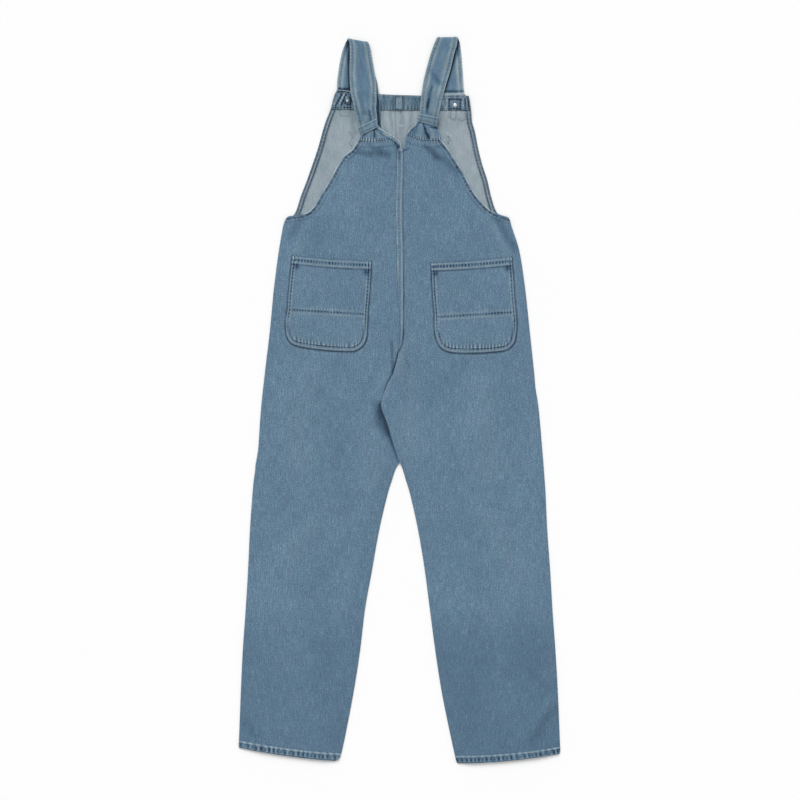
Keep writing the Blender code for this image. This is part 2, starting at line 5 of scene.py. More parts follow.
import bpy
import numpy as np
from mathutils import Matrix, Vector


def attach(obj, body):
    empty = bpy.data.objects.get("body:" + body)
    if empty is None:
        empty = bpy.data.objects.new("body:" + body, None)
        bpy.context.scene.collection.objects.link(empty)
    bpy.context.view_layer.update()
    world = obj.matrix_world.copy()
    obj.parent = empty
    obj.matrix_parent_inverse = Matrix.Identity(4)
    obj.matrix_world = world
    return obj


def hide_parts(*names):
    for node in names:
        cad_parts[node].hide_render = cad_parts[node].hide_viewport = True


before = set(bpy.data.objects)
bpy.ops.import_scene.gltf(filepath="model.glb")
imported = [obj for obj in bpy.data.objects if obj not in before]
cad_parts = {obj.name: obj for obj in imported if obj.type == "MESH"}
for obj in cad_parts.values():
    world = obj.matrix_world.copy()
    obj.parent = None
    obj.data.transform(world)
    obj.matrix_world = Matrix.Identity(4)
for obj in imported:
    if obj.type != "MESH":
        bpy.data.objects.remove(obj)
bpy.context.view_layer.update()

# Cloth thicknesses and lifts, in mm, as in the sewn garment
cloth = {"frontWall": 1.2, "backWall": 1.4, "strapWall": 1.4, "patchWall": 1.3, "gap": 0.3}
mm = 0.001



# Numbers
def ease(t):
    t = np.clip(t, 0.0, 1.0)
    return t * t * (3 - 2 * t)


def bump(distance, width):
    return np.exp(-((distance / width) ** 2))


def mixed(a, b, share):
    return a + (b - a) * share


def softNoise(x, y, size, seed):
    # smooth value noise from -1 to 1 with hills about one size wide
    table = np.random.default_rng(seed).uniform(-1, 1, (61, 61))
    u, v = np.asarray(x, float) / size, np.asarray(y, float) / size
    i, j = np.floor(u).astype(int), np.floor(v).astype(int)
    fu, fv = ease(u - i), ease(v - j)
    low = mixed(table[i % 61, j % 61], table[(i + 1) % 61, j % 61], fu)
    high = mixed(table[i % 61, (j + 1) % 61], table[(i + 1) % 61, (j + 1) % 61], fu)
    return mixed(low, high, fv)


def drift(s, size, seed):
    # the same noise along a line
    return softNoise(s, s * 0, size, seed)


def softSlope(before, after):
    return 0.0 if before * after <= 0 else 2 * before * after / (before + after)


def denseRows(rows, step):
    # rows between the table's rows, about a step apart, with no overshoot; the step may be a function
    stepAt = step if callable(step) else lambda height: step
    values = np.array(rows, float)
    out = [values[0]]
    for k in range(len(values) - 1):
        here, there = values[k], values[k + 1]
        before = here - values[k - 1] if k else there - here
        after = values[k + 2] - there if k + 2 < len(values) else there - here
        start = np.array([softSlope(a, b) for a, b in zip(before, there - here)])
        end = np.array([softSlope(a, b) for a, b in zip(there - here, after)])
        left = np.hypot(there[0] - here[0], there[1] - here[1])
        right = np.hypot(there[2] - here[2], there[3] - here[3])
        count = max(1, int(np.ceil(max(left, right) / stepAt((here[1] + there[1]) / 2))))
        for t in np.arange(1, count + 1) / count:
            out.append(
                (2 * t**3 - 3 * t**2 + 1) * here + (t**3 - 2 * t**2 + t) * start
                + (3 * t**2 - 2 * t**3) * there + (t**3 - t**2) * end
            )
    return np.array(out)


def edgeAt(rows, side, y):
    column = 0 if side == "left" else 2
    return np.interp(y, rows[::-1, column + 1], rows[::-1, column])


def toLine(x, y, line):
    # distance to a line of points, and how far along it the nearest place is
    best = np.full(np.shape(x), 1e9)
    along = np.zeros(np.shape(x))
    run = 0.0
    for a, b in zip(line, line[1:]):
        dx, dy = b[0] - a[0], b[1] - a[1]
        length = max(np.hypot(dx, dy), 1e-6)
        t = np.clip(((x - a[0]) * dx + (y - a[1]) * dy) / length**2, 0, 1)
        d = np.hypot(x - a[0] - t * dx, y - a[1] - t * dy)
        closer = d < best
        best = np.where(closer, d, best)
        along = np.where(closer, run + t * length, along)
        run += length
    return best, along


def spaced(line, step):
    # the same line with a point every step
    line = np.array(line, float)
    run = np.concatenate([[0], np.cumsum(np.hypot(*np.diff(line[:, :2], axis=0).T))])
    count = max(2, int(round(run[-1] / step)) + 1)
    places = np.linspace(0, run[-1], count)
    return np.stack([np.interp(places, run, line[:, k]) for k in range(line.shape[1])], 1)


def besideLine(line, offset):
    # a line moved sideways, to its left when the offset is above nothing
    line = spaced(line, 2.0)
    along = np.gradient(line[:, :2], axis=0)
    along /= np.maximum(np.hypot(along[:, 0], along[:, 1]), 1e-9)[:, None]
    return line[:, :2] + offset * np.stack([-along[:, 1], along[:, 0]], 1)


def backStep(height):
    # fine rows where the seams are, wider ones down the legs
    return 1.35 if height > 366 else 1.9 if height > 96 else 3.2


def bibStep(height):
    return 1.7 if height > 520 else 2.6


# Garment tables, in mm: x to the right, y up to the straps, origin in the middle. A row of cloth goes
# from left x and y to right x and y, with its sag between them.
backLeftRows = denseRows(
    (
        (-88, 545, -9, 549, 4), (-97, 531, 1, 541, 2), (-104, 523, 4, 526, 0), (-117, 513, 6, 510, 0),
        (-131, 492, 6, 491, 0), (-150, 457, 6, 457, 0), (-169, 427, 6, 427, 0), (-182, 405, 6, 405, 0),
        (-194, 394, 6, 393, 0), (-209, 389, 6, 382, 0), (-235, 384.5, 6, 372, 0), (-241.5, 376, 6, 365, 0),
        (-245, 366, 6, 357, 0), (-254, 315, 6, 315, 0), (-265, 231, 6, 231, 0), (-273, 147, 7, 147, 0),
        (-283, 63, 5, 63, 0), (-292, -21, 1, -21, 0), (-298, -105, 0, -105, 0), (-302, -129, -0.5, -129, 0),
        (-303, -134, -3.6, -134, 0), (-304, -147, -10.2, -147, 0), (-307, -168, -17.2, -168, 0),
        (-309, -189, -24, -189, 0), (-315, -273, -44, -273, 0), (-319, -357, -59, -357, 0),
        (-324, -441, -74, -441, 0), (-330, -525, -84, -525, 0), (-334, -609, -97, -609, 0),
        (-338, -713, -123, -740, 2), (-339, -730, -129, -757, 3),
    ),
    backStep,
)
backRightRows = denseRows(
    (
        (13, 557, 86, 546, 7), (9, 541, 95, 535, 3), (6, 527, 103, 525, 0), (-6, 523, 108, 517, 0),
        (-6, 505, 117, 503, 0), (-6, 473, 135, 473, 0), (-7.4, 440, 153, 440, 0), (-7.8, 418, 171, 416, 0),
        (-7.8, 399, 191, 398, 0), (-7.8, 390, 209, 389, 0), (-7.8, 380, 228, 382.5, 0),
        (-7.6, 372, 231, 376, 0), (-7.4, 362, 233.5, 366, 0), (-6, 315, 250, 315, 0),
        (-4, 231, 263, 231, 0), (1, 147, 272, 147, 0), (-3, 100, 277, 100, 0), (-17, 52, 282, 52, 0),
        (-29, 28, 284, 28, 0), (-40, -10, 290, -10, 0), (-27, -50, 294, -50, 0), (-9, -110, 299, -110, 0),
        (-2.6, -127, 300.5, -127, 0), (1.6, -134, 301, -134, 0), (6.2, -147, 302, -147, 0),
        (12.3, -168, 303.5, -168, 0), (19, -189, 305, -189, 0), (38, -273, 309, -273, 0),
        (52, -357, 315, -357, 0), (63, -441, 320, -441, 0), (74, -525, 326, -525, 0),
        (87, -609, 331, -609, 0), (115, -745, 336, -729, 2), (119, -762, 337, -743, 4.5),
    ),
    backStep,
)
bibRows = denseRows(
    (
        (-132, 651, 144, 638, 5), (-138, 638, 145, 634, -2), (-146, 609, 149, 607, 0),
        (-155, 587, 151, 586, 0), (-162, 565, 157, 564, 0), (-172, 529, 164, 529, 0),
        (-183, 496, 172, 496, 0), (-195, 462, 183, 462, 0), (-208, 428, 191, 428, 0),
        (-219, 395, 202.5, 395, 0), (-236, 372, 226, 372, 0), (-243, 350.5, 236, 350.5, 0),
    ),
    bibStep,
)

bothSides = ("left", "right")
backRows = {"left": backLeftRows, "right": backRightRows}

# Soft troughs and ridges of the back: both ends, width, height, and shade, which is painted shade
# in the troughs and painted light on the ridges
creases = (
    (-85, 518, -28, 512, 8, -1.8, -0.34), (-60, 532, -40, 520, 6, -1.0, -0.25),
    (58, 528, 78, 512, 8, -1.9, -0.38), (78, 512, 118, 480, 10, -1.6, -0.28),
    (-10, 536, -2, 508, 5, -1.6, -0.5), (-118, 480, -100, 440, 16, 0.9, 0.05),
    (204, 378, 236, 324, 10, -1.4, -0.3), (190, 372, 222, 318, 12, 0.9, 0.1),
    (-194, 386, -222, 350, 12, -1.4, -0.2), (-205, 376, -214, 330, 14, 0.9, 0.08),
    (-18.5, 118, -15, 56, 3.6, -1.0, -0.42), (-8, 112, -12, 84, 5, 0.8, 0.1),
    (12, 110, -6, 62, 12, 1.4, 0.1), (-30, 60, -44, 0, 14, 0.9, 0.05), (-52, -10, -34, -70, 9, -1.0, -0.2),
    (20, 20, 26, -90, 26, 1.2, 0.06), (-70, -30, -60, -160, 30, 1.0, 0.04),
    (322, -650, 276, -714, 12, -1.2, -0.17), (308, -640, 262, -704, 12, 0.7, 0.06),
    (-326, -672, -308, -706, 10, -0.8, -0.12), (-150, 360, -175, 320, 20, -0.7, -0.05),
    (150, 365, 172, 322, 20, -0.6, -0.04), (-40, 330, -48, 250, 26, 0.6, 0.03),
    (-120, 60, -70, 12, 24, -0.8, -0.05), (130, 70, 70, 2, 24, -0.8, -0.05),
    (-190, 40, -212, -120, 30, 0.9, 0.05), (170, 30, 190, -150, 30, 0.9, 0.05),
    (-130, -60, -112, -230, 22, -0.8, -0.04), (110, -120, 130, -262, 24, -0.8, -0.04),
    (-180, -270, -232, -332, 24, 0.9, 0.05), (-126, -330, -192, -402, 20, -0.8, -0.05),
    (190, -262, 242, -350, 24, 0.9, 0.04), (128, -342, 192, -424, 22, -0.8, -0.05),
    (-222, -440, -210, -640, 28, 0.9, 0.04), (-150, -450, -146, -610, 22, -0.7, -0.03),
    (200, -450, 216, -640, 28, 0.9, 0.04), (262, -430, 280, -590, 20, -0.7, -0.03),
    (160, -560, 150, -700, 18, -0.7, -0.03),
)

drape = {
    "edgeTop": 3.1, "crown": 4.2, "neckCrown": 2.4,  # top of a back layer at its edge, and the middle's rise
    "lowest": 2.95,  # the back always clears the bib under it
    "outerRound": 55.0, "innerRound": 38.0, "hemFlat": 0.3,
    "wrap": 5.0, "wrapFoot": 1.5,  # the rolled fold along the sides
    "lapDrop": 3.0, "foldDrop": 16.0, "foldLift": 2.6,
}


def creaseField(x, y, table):
    height = np.zeros(np.shape(x))
    shade = np.zeros(np.shape(x))
    for number, (x1, y1, x2, y2, width, rise, tone) in enumerate(table):
        length = np.hypot(x2 - x1, y2 - y1)
        ux, uy = (x2 - x1) / length, (y2 - y1) / length
        along = (x - x1) * ux + (y - y1) * uy
        across = (x - x1) * uy - (y - y1) * ux
        across = across + 0.35 * width * drift(along, length / 3, number)
        beyond = np.maximum(0, np.maximum(-along, along - length))
        lens = bump(across, width * (0.7 + 0.3 * ease(along / length))) * bump(beyond, width * 1.4)
        height = height + rise * lens
        shade = shade + tone * lens
    return height, shade


def crownTop(x, y, outer, inner):
    apart = ease((60 - y) / 210)
    full = mixed(drape["neckCrown"], drape["crown"], ease((560 - y) / 240))
    full = full * (1 - drape["hemFlat"] * ease((-670 - y) / 80))
    rise = ease(outer / drape["outerRound"]) * (1 - apart * (1 - ease(inner / drape["innerRound"])))
    return drape["edgeTop"] + rise * full


def rolled(z, distance, foot):
    # the cloth turns down over a folded edge
    share = np.clip(distance / drape["wrap"], 0, 1)
    return foot + (z - foot) * np.sqrt(np.maximum(0, 1 - (1 - share) ** 2))


def leftTop(x, y):
    outer = x - edgeAt(backLeftRows, "left", y)
    inner = edgeAt(backLeftRows, "right", y) - x
    return crownTop(x, y, outer, inner)


def lapLine(y):
    seam = edgeAt(backLeftRows, "right", y) + 0.8
    return np.maximum(seam, edgeAt(backRightRows, "left", y) + 11)


def backSurface(side, x, y):
    # top of a back panel before its seams, and the painted shade and light of its creases
    height, shade = creaseField(x, y, creases)
    if side == "left":
        top = leftTop(x, y)
        outer = x - edgeAt(backLeftRows, "left", y)
        inner = edgeAt(backLeftRows, "right", y) - x
        top = np.maximum(top + height * ease(outer / 25), drape["lowest"])
        folded = ease((372 - y) / 10)
        top = mixed(top, rolled(top, outer, drape["wrapFoot"]), folded)
        opened = ease((-130 - y) / 12)
        top = mixed(top, rolled(top, inner, drape["wrapFoot"]), opened)
        return top, shade
    outer = edgeAt(backRightRows, "right", y) - x
    inner = x - edgeAt(backRightRows, "left", y)
    alone = crownTop(x, y, outer, inner)
    folding = ease((150 - y) / 60) * ease((y + 140) / 50)
    drop = mixed(drape["lapDrop"], drape["foldDrop"], folding)
    parted = ease((-134 - y) / 50)
    share = (1 - ease((x - lapLine(y)) / drop)) * (1 - parted)
    seam = edgeAt(backLeftRows, "right", y)
    under = np.maximum(leftTop(np.minimum(x, seam), y), drape["edgeTop"])
    top = mixed(alone, under, share)
    top = top + share * (cloth["gap"] + cloth["backWall"] + drape["foldLift"] * folding)
    top = np.maximum(top + height * ease(outer / 25), drape["lowest"])
    folded = ease((360 - y) / 10)
    top = mixed(top, rolled(top, outer, drape["wrapFoot"]), folded)
    foot = np.where(y > -126, np.minimum(under + 1.0, top), drape["wrapFoot"])
    turned = np.maximum(folding * ease((112 - y) / 30), ease((-132 - y) / 12))
    top = mixed(top, rolled(top, inner, foot), turned)
    return top, shade


# Seams: a line in a seam is worn pale or dark at its place from the edge, evenly and in dashes;
# some dark lines are painted shadow beside a raised edge, as noted where they are listed
Line = namedtuple("Line", "place tone spread dash dashTone dent", defaults=(0.0, 1.2, 3.7, 0.0, 0.0))


def seamOf(line, **facts):
    seam = {
        "line": spaced(line, 5.0), "width": 10.0, "lift": 0.9, "lines": (), "stitches": (), "tone": 0.0,
        # ropeTone and puckerTone: wear with painted light on the raised parts and painted shade in the dips
        "rope": 12.0, "ropeHeight": 0.0, "ropeTone": 0.0, "ropeLean": 0.3,
        "pucker": 6.5, "puckerHeight": 0.0, "puckerTone": 0.0, "puckerPlace": 4.0, "puckerSpread": 4.0,
        # step darkens just past the seam's raised edge as a painted shadow
        "step": -0.25, "seed": 3, "fade": (-900, -800),
    }
    seam.update(facts)
    return seam


def dashes(s, length, seed):
    # an uneven row of dashes from 0 to 1
    wander = 0.25 * drift(s, 3.3 * length, seed)
    wave = np.sin(2 * pi * (s / length + wander))
    return np.clip(0.5 + 0.75 * wave, 0, 1) * (0.75 + 0.4 * softNoise(s, s * 0 + 7.0, 2.2 * length, seed + 1))


def sewn(seam, x, y, z, wearAndShade):
    # a seam's relief and wear, with painted light and shade on its ropes and puckers and a painted
    # shadow past its raised edge, all of which fade out between two heights
    plainZ, plainWearAndShade = z, wearAndShade
    d, s = toLine(x, y, seam["line"])
    width, seed = seam["width"], seam["seed"]
    blotch = softNoise(s, d, 17, seed)
    inside = 1 - ease((d - width) / 1.6 + 0.5)
    z = z + seam["lift"] * inside - seam["lift"] * 0.8 * (1 - ease(d / 1.8))
    wearAndShade = wearAndShade + seam["tone"] * inside
    if seam["ropeHeight"] or seam["ropeTone"]:
        wander = 0.45 * drift(s, 2.4 * seam["rope"], seed + 1)
        wave = np.sin(2 * pi * (s / seam["rope"] + seam["ropeLean"] * d / width + wander))
        body = ease(d / 2) * (1 - ease((d - width * 0.75) / (width * 0.45)))
        strength = 0.75 + 0.6 * softNoise(s, s * 0 + 3.0, 21, seed + 6)
        z = z + seam["ropeHeight"] * wave * body
        # the ropes are paler where raised and darker in the dips: wear with painted light and shade
        wearAndShade = wearAndShade + seam["ropeTone"] * wave * body * strength
    if seam["puckerHeight"] or seam["puckerTone"]:
        wander = 0.5 * drift(s, 19, seed + 2)
        wave = np.sin(2 * pi * (s / seam["pucker"] + wander))
        wave = wave * (0.65 + 0.5 * drift(s, 34, seed + 4))
        near = bump(d - seam["puckerPlace"], seam["puckerSpread"])
        z = z + seam["puckerHeight"] * wave * near
        # the puckers likewise: wear with painted light on their tops and painted shade in the dents
        wearAndShade = wearAndShade + seam["puckerTone"] * wave * near
    for number, line in enumerate(seam["lines"]):
        near = bump(d - line.place, line.spread)
        wearAndShade = wearAndShade + line.tone * (0.8 + 0.5 * blotch) * near
        z = z - line.dent * near
        if line.dashTone:
            wearAndShade = wearAndShade + line.dashTone * dashes(s, line.dash, seed + 10 * number) * near
    # a painted shadow just past the seam's raised edge
    wearAndShade = wearAndShade + seam["step"] * (0.8 + 0.5 * blotch) * bump(d - width - 1.3, 1.2)
    present = ease((y - seam["fade"][0]) / (seam["fade"][1] - seam["fade"][0]))
    return mixed(plainZ, z, present), mixed(plainWearAndShade, wearAndShade, present)


# Shader maths: one wrapped socket, and one way to add any node
class Wire:
    def __init__(self, finish, socket):
        self.finish, self.socket = finish, socket

    def __add__(self, other):
        return self.finish.maths("ADD", self, other)

    def __radd__(self, other):
        return self.finish.maths("ADD", other, self)

    def __sub__(self, other):
        return self.finish.maths("SUBTRACT", self, other)

    def __rsub__(self, other):
        return self.finish.maths("SUBTRACT", other, self)

    def __mul__(self, other):
        return self.finish.maths("MULTIPLY", self, other)

    def __rmul__(self, other):
        return self.finish.maths("MULTIPLY", other, self)

    def limited(self, low=0.0, high=1.0):
        return self.finish.maths("MINIMUM", self.finish.maths("MAXIMUM", self, low), high)


class Finish:
    def __init__(self, name):
        self.material = bpy.data.materials.new(name)
        self.material.use_nodes = True
        self.tree = self.material.node_tree
        self.shader = self.tree.nodes["Principled BSDF"]

    def add(self, kind, settings, sockets, output=0):
        node = self.tree.nodes.new(kind)
        for name, value in settings.items():
            setattr(node, name, value)
        for key, value in sockets.items():
            self.feed(node.inputs[key], value)
        return Wire(self, node.outputs[output])

    def feed(self, socket, value):
        if isinstance(value, Wire):
            self.tree.links.new(value.socket, socket)
        else:
            socket.default_value = value

    def maths(self, operation, first, second):
        return self.add("ShaderNodeMath", {"operation": operation}, {0: first, 1: second})

    def stretched(self, vector, size):
        return self.add("ShaderNodeVectorMath", {"operation": "MULTIPLY"}, {0: vector, 1: size})

    def noise(self, vector, size, detail=2.0, roughness=0.5):
        settings = {"noise_dimensions": "3D"}
        sockets = {"Scale": 1.0, "Detail": detail, "Roughness": roughness}
        return self.add("ShaderNodeTexNoise", settings, {"Vector": self.stretched(vector, size), **sockets})

    def blend(self, first, second, share, mode="MIX"):
        settings = {"data_type": "RGBA", "blend_type": mode}
        return self.add("ShaderNodeMix", settings, {0: share, 6: first, 7: second}, 2)

    def set(self, **sockets):
        for name, value in sockets.items():
            self.feed(self.shader.inputs[name.replace("_", " ")], value)


def linear(red, green, blue):
    # a colour read off as 0 to 255 screen values
    values = [c / 255 for c in (red, green, blue)]
    return tuple([c / 12.92 if c < 0.04 else ((c + 0.055) / 1.055) ** 2.4 for c in values] + [1.0])


# Colours: two dyes, the grey of light wear, fresh and pale wear that painted light also reaches, and the deep
# colour of painted shade and dark stitching
denimLooks = {
    "denim_right_side": {
        "colours": (
            (87, 117, 137), (91, 115, 139), (119, 138, 150), (160, 190, 211), (176, 189, 196), (34, 52, 70),
        ),
        "fleck": 1.8, "streak": 0.8, "slub": 0.7, "cloud": 0.24, "wash": 0.20, "roughness": 0.93,
    },
    "denim_wrong_side": {
        "colours": (
            (141, 157, 163), (145, 155, 165), (158, 169, 175), (188, 201, 208), (192, 200, 203), (58, 80, 98),
        ),
        "fleck": 0.8, "streak": 0.55, "slub": 0.55, "cloud": 0.42, "wash": 0.10, "roughness": 0.94,
    },
    "denim_facing": {
        "colours": (
            (78, 107, 124), (82, 105, 126), (112, 130, 141), (154, 184, 204), (174, 186, 192), (22, 36, 50),
        ),
        "fleck": 1.4, "streak": 0.7, "slub": 0.55, "cloud": 0.4, "wash": 0.10, "roughness": 0.93,
    },
    "denim_strap": {
        "colours": (
            (86, 117, 137), (90, 115, 140), (118, 137, 146), (158, 188, 210), (176, 189, 196), (30, 46, 62),
        ),
        "fleck": 0.9, "streak": 0.55, "slub": 0.45, "cloud": 0.3, "wash": 0.12, "roughness": 0.93,
    },
}
weave = {"strength": 0.05, "bump": 0.35, "depth": 0.0005, "greyLimit": 0.35, "lift": 1.15}


def denimFinish(name):
    # flecks and slubs down the warp, twill in fine diagonals, a cloudy wash, and the wear and painted light
    # and shade kept per point
    look = denimLooks[name]
    base, base2, grey, fresh, pale, deep = (linear(*colour) for colour in look["colours"])
    finish = Finish(name)
    grain = finish.add("ShaderNodeUVMap", {"uv_map": "grain"}, {})
    wearAndShade = finish.add("ShaderNodeAttribute", {"attribute_name": "wearAndShade"}, {}, 2)
    fleck = finish.noise(grain, (820.0, 500.0, 1.0), 2.0, 0.6)
    streak = finish.noise(grain, (740.0, 120.0, 1.0), 2.0, 0.6)
    slub = finish.noise(grain, (600.0, 34.0, 1.0), 2.0, 0.6)
    cloud = finish.noise(grain, (70.0, 36.0, 1.0), 3.0, 0.55)
    wash = finish.noise(grain, (10.0, 6.0, 1.0), 2.0, 0.5)
    twill = finish.add(
        "ShaderNodeTexWave", {"bands_direction": "DIAGONAL"},
        {"Vector": grain, "Scale": 160.0, "Distortion": 1.5, "Detail": 1.0}, 1,
    )
    grainTone = (fleck - 0.5) * look["fleck"] + (streak - 0.5) * look["streak"] + (slub - 0.5) * look["slub"]
    washTone = (cloud - 0.5) * look["cloud"] + (wash - 0.5) * look["wash"]
    hue = finish.noise(grain, (36.0, 28.0, 1.0), 3.0, 0.6)
    dyed = finish.blend(base, base2, ((hue - 0.5) * 2.2 + 0.5).limited())
    total = wearAndShade + grainTone + washTone + (twill - 0.5) * weave["strength"]
    greyness = wearAndShade.limited(0.0, weave["greyLimit"])  # worn places turn grey before they turn pale
    greyer = finish.blend(dyed, grey, greyness * 2.86)
    rest = total - greyness
    faded = finish.blend(fresh, pale, greyness * 2.86)
    lighter = finish.blend(greyer, faded, (rest * weave["lift"]).limited())
    final = finish.blend(lighter, deep, (0.0 - rest).limited())
    height = twill * 0.3 + streak * 0.5 + fleck * 0.5
    bumpSockets = {"Strength": weave["bump"], "Distance": weave["depth"], "Height": height}
    relief = finish.add("ShaderNodeBump", {}, bumpSockets)
    finish.set(Base_Color=final, Roughness=look["roughness"], Normal=relief)
    finish.set(Sheen_Weight=0.06, Sheen_Roughness=0.6, Specular_IOR_Level=0.15)
    return finish.material


def threadFinish(name, colour, darker):
    finish = Finish(name)
    place = finish.add("ShaderNodeTexCoord", {}, {}, 3)
    tone = finish.noise(place, (90.0, 90.0, 90.0), 2.0)
    shade = finish.blend(colour, darker, ((tone - 0.35) * 1.4).limited())
    finish.set(Base_Color=shade, Roughness=0.8, Specular_IOR_Level=0.3)
    return finish.material


denimOut, denimIn, denimBand, denimStrap = (denimFinish(name) for name in denimLooks)
thread = threadFinish("tonal_thread", linear(146, 163, 174), linear(96, 118, 136))
fadedThread = threadFinish("faded_thread", linear(124, 142, 154), linear(84, 106, 124))
print("finishes ready")


# Meshes
def placed(name, data):
    thing = bpy.data.objects.new(name, data)
    bpy.context.scene.collection.objects.link(thing)
    return thing


def addMesh(name, points, faces, uvs, wearAndShade, material):
    mesh = bpy.data.meshes.new(name)
    mesh.vertices.add(len(points))
    mesh.vertices.foreach_set("co", (np.asarray(points) * mm).ravel())
    sides = faces.shape[1]
    mesh.loops.add(faces.size)
    mesh.loops.foreach_set("vertex_index", faces.ravel().astype(np.int32))
    mesh.polygons.add(len(faces))
    mesh.polygons.foreach_set("loop_start", np.arange(0, faces.size, sides, dtype=np.int32))
    mesh.update(calc_edges=True)
    mesh.polygons.foreach_set("use_smooth", np.ones(len(faces), bool))
    if uvs is not None:
        layer = mesh.uv_layers.new(name="grain")
        layer.data.foreach_set("uv", (uvs[faces.ravel()] * mm).ravel())
        mesh.attributes.new("wearAndShade", "FLOAT", "POINT").data.foreach_set("value", wearAndShade)
    mesh.materials.append(material)
    mesh.validate()
    piece = placed(name, mesh)
    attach(piece, "root")
    return piece


def addCloth(node, top, bottom, uv, wearAndShade, material, rim=None):
    # stands for a CAD node: two layers joined round the edge; with a rim, the lower one is only that
    # many cells wide
    rows, columns = top.shape[:2]
    count = rows * columns
    index = np.arange(count).reshape(rows, columns)
    cells = np.stack([index[:-1, :-1], index[1:, :-1], index[1:, 1:], index[:-1, 1:]], -1)
    lower = cells[..., ::-1] + count
    if rim is not None:
        keep = np.ones(cells.shape[:2], bool)
        keep[rim:-rim, rim:-rim] = False
        lower = lower[keep]
    loop = np.concatenate([index[0, :-1], index[:-1, -1], index[-1, :0:-1], index[:0:-1, 0]])
    ahead = np.roll(loop, -1)
    sides = np.stack([loop, ahead, ahead + count, loop + count], -1)
    faces = np.concatenate([cells.reshape(-1, 4), lower.reshape(-1, 4), sides])
    points = np.concatenate([top.reshape(-1, 3), bottom.reshape(-1, 3)])
    used = np.unique(faces)
    renumber = np.zeros(2 * count, int)
    renumber[used] = np.arange(len(used))
    uvs = np.concatenate([uv.reshape(-1, 2)] * 2)
    tone = np.concatenate([wearAndShade.ravel()] * 2)
    piece = addMesh(node + "_denim", points[used], renumber[faces], uvs[used], tone[used], material)
    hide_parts(node)
    return piece


def rowShares(widths, edges, middle):
    # shares across each row: fine cells at both edges, even ones between
    edges = np.array(edges)[None, :] / widths[:, None]
    start = edges[:, -1:]
    inner = start + (1 - 2 * start) * (np.arange(1, middle)[None, :] / middle)
    return np.concatenate([edges, inner, 1 - edges[:, ::-1]], 1)


def rowGrid(rows, shares):
    x = rows[:, 0:1] + (rows[:, 2:3] - rows[:, 0:1]) * shares
    y = rows[:, 1:2] + (rows[:, 3:4] - rows[:, 1:2]) * shares - rows[:, 4:5] * 4 * shares * (1 - shares)
    return x, y


def layCloth(node, x, y, surface, wall, material, rim=None, under=None):
    z, wearAndShade = surface(x, y)
    bottom = z - wall if under is None else under(x, y)
    bottom = np.maximum(bottom, 0.02)
    top = np.stack([x, y, np.maximum(z, bottom + 0.1)], -1)
    low = np.stack([x, y, bottom], -1)
    return addCloth(node, top, low, np.stack([x, y], -1), wearAndShade, material, rim)


def stitchMesh(name, runs, length=2.7, gap=1.0, radius=0.32, material=thread):
    # each run is a line of points on the cloth; every stitch is a short six-sided bead of thread
    points, faces = [], []
    ring = np.arange(6) / 6 * 2 * pi
    for run in runs:
        run = spaced(run, 0.5)
        travelled = np.concatenate([[0], np.cumsum(np.linalg.norm(np.diff(run, axis=0), axis=1))])
        for start in np.arange(0.4, travelled[-1] - length, length + gap):
            places = start + np.array((0, 0.5, 1)) * length
            ends = np.stack([np.interp(places, travelled, run[:, k]) for k in range(3)], 1)
            along = ends[2] - ends[0]
            along /= np.linalg.norm(along) + 1e-9
            side = np.cross(along, [0, 0, 1.0])
            side /= np.linalg.norm(side) + 1e-9
            up = np.cross(side, along)
            base = len(points) * 6
            for place, size, rise in ((0, 0.45, -0.15), (1, 1.0, 0.2), (2, 0.45, -0.15)):
                ringPoints = ends[place] + rise * up * radius + size * radius * (
                    np.cos(ring)[:, None] * side + np.sin(ring)[:, None] * up
                )
                points.append(ringPoints)
            for k in range(2):
                for j in range(6):
                    a, b = base + 6 * k + j, base + 6 * k + (j + 1) % 6
                    faces.append((a, a + 6, b + 6, b))
            faces.append((base, base + 1, base + 2, base + 3))
            faces.append((base, base + 3, base + 4, base + 5))
            faces.append((base + 12, base + 15, base + 14, base + 13))
            faces.append((base + 12, base + 17, base + 16, base + 15))
    return addMesh(name, np.concatenate(points), np.array(faces), None, None, material)


def onSurface(line, surface, lift=0.1):
    z, _ = surface(line[:, 0], line[:, 1])
    return np.column_stack([line, z + lift])


# Back pockets
pocket = {
    "mouth": 16.0, "edgeBand": 12.5, "doubled": 0.9, "cross": {"left": 191, "right": 175},
    "flat": (0.192, 0.226), "area": 0.0405, "stitches": (2.9, 6.2), "mouthStitches": (4.4, 11.6),
    "edges": (0, 0.7, 1.5, 2.4, 3.5, 4.7, 6.0, 7.4, 9.0, 11), "columns": 116, "gather": 7.4,
}
pocketTables = {
    "left": (
        (-225.5, 302, -60.5, 290, 2), (-227.5, 286, -60.5, 274, 2), (-234, 222, -64, 218, 0),
        (-236, 191, -67, 181, 0), (-240, 163, -68, 158, 0), (-239, 141, -69, 137, 0),
        (-236, 130, -72, 124, 0), (-230, 121, -77, 115, 0), (-221, 115, -86, 107, 2),
        (-211, 112, -96, 102, 3),
    ),
    "right": (
        (65.5, 287, 234.5, 299, 2), (66, 271, 236, 283, 2), (68, 222, 240, 222, 0), (72, 175, 243, 186, 0),
        (72, 155, 245, 158, 0), (74, 135, 243, 134, 0), (78, 122, 240, 121, 0), (84, 112, 233, 112, 0),
        (94, 104, 225, 106, 2), (106, 100, 216, 103, 3),
    ),
}


def pocketOutline(side):
    rows = denseRows(pocketTables[side], 2.0)
    left = [(r[0], r[1]) for r in rows]
    right = [(r[2], r[3]) for r in rows[::-1]]
    return spaced(np.array(left + list(map(tuple, rowLine(rows[-1])[1:-1])) + right), 3.0)


# Back panels
def leftEdge(rows, top, bottom):
    return [(r[0], r[1]) for r in rows if bottom <= r[1] <= top]


def rightEdge(rows, top, bottom):
    return [(r[2], r[3]) for r in rows if bottom <= r[3] <= top]


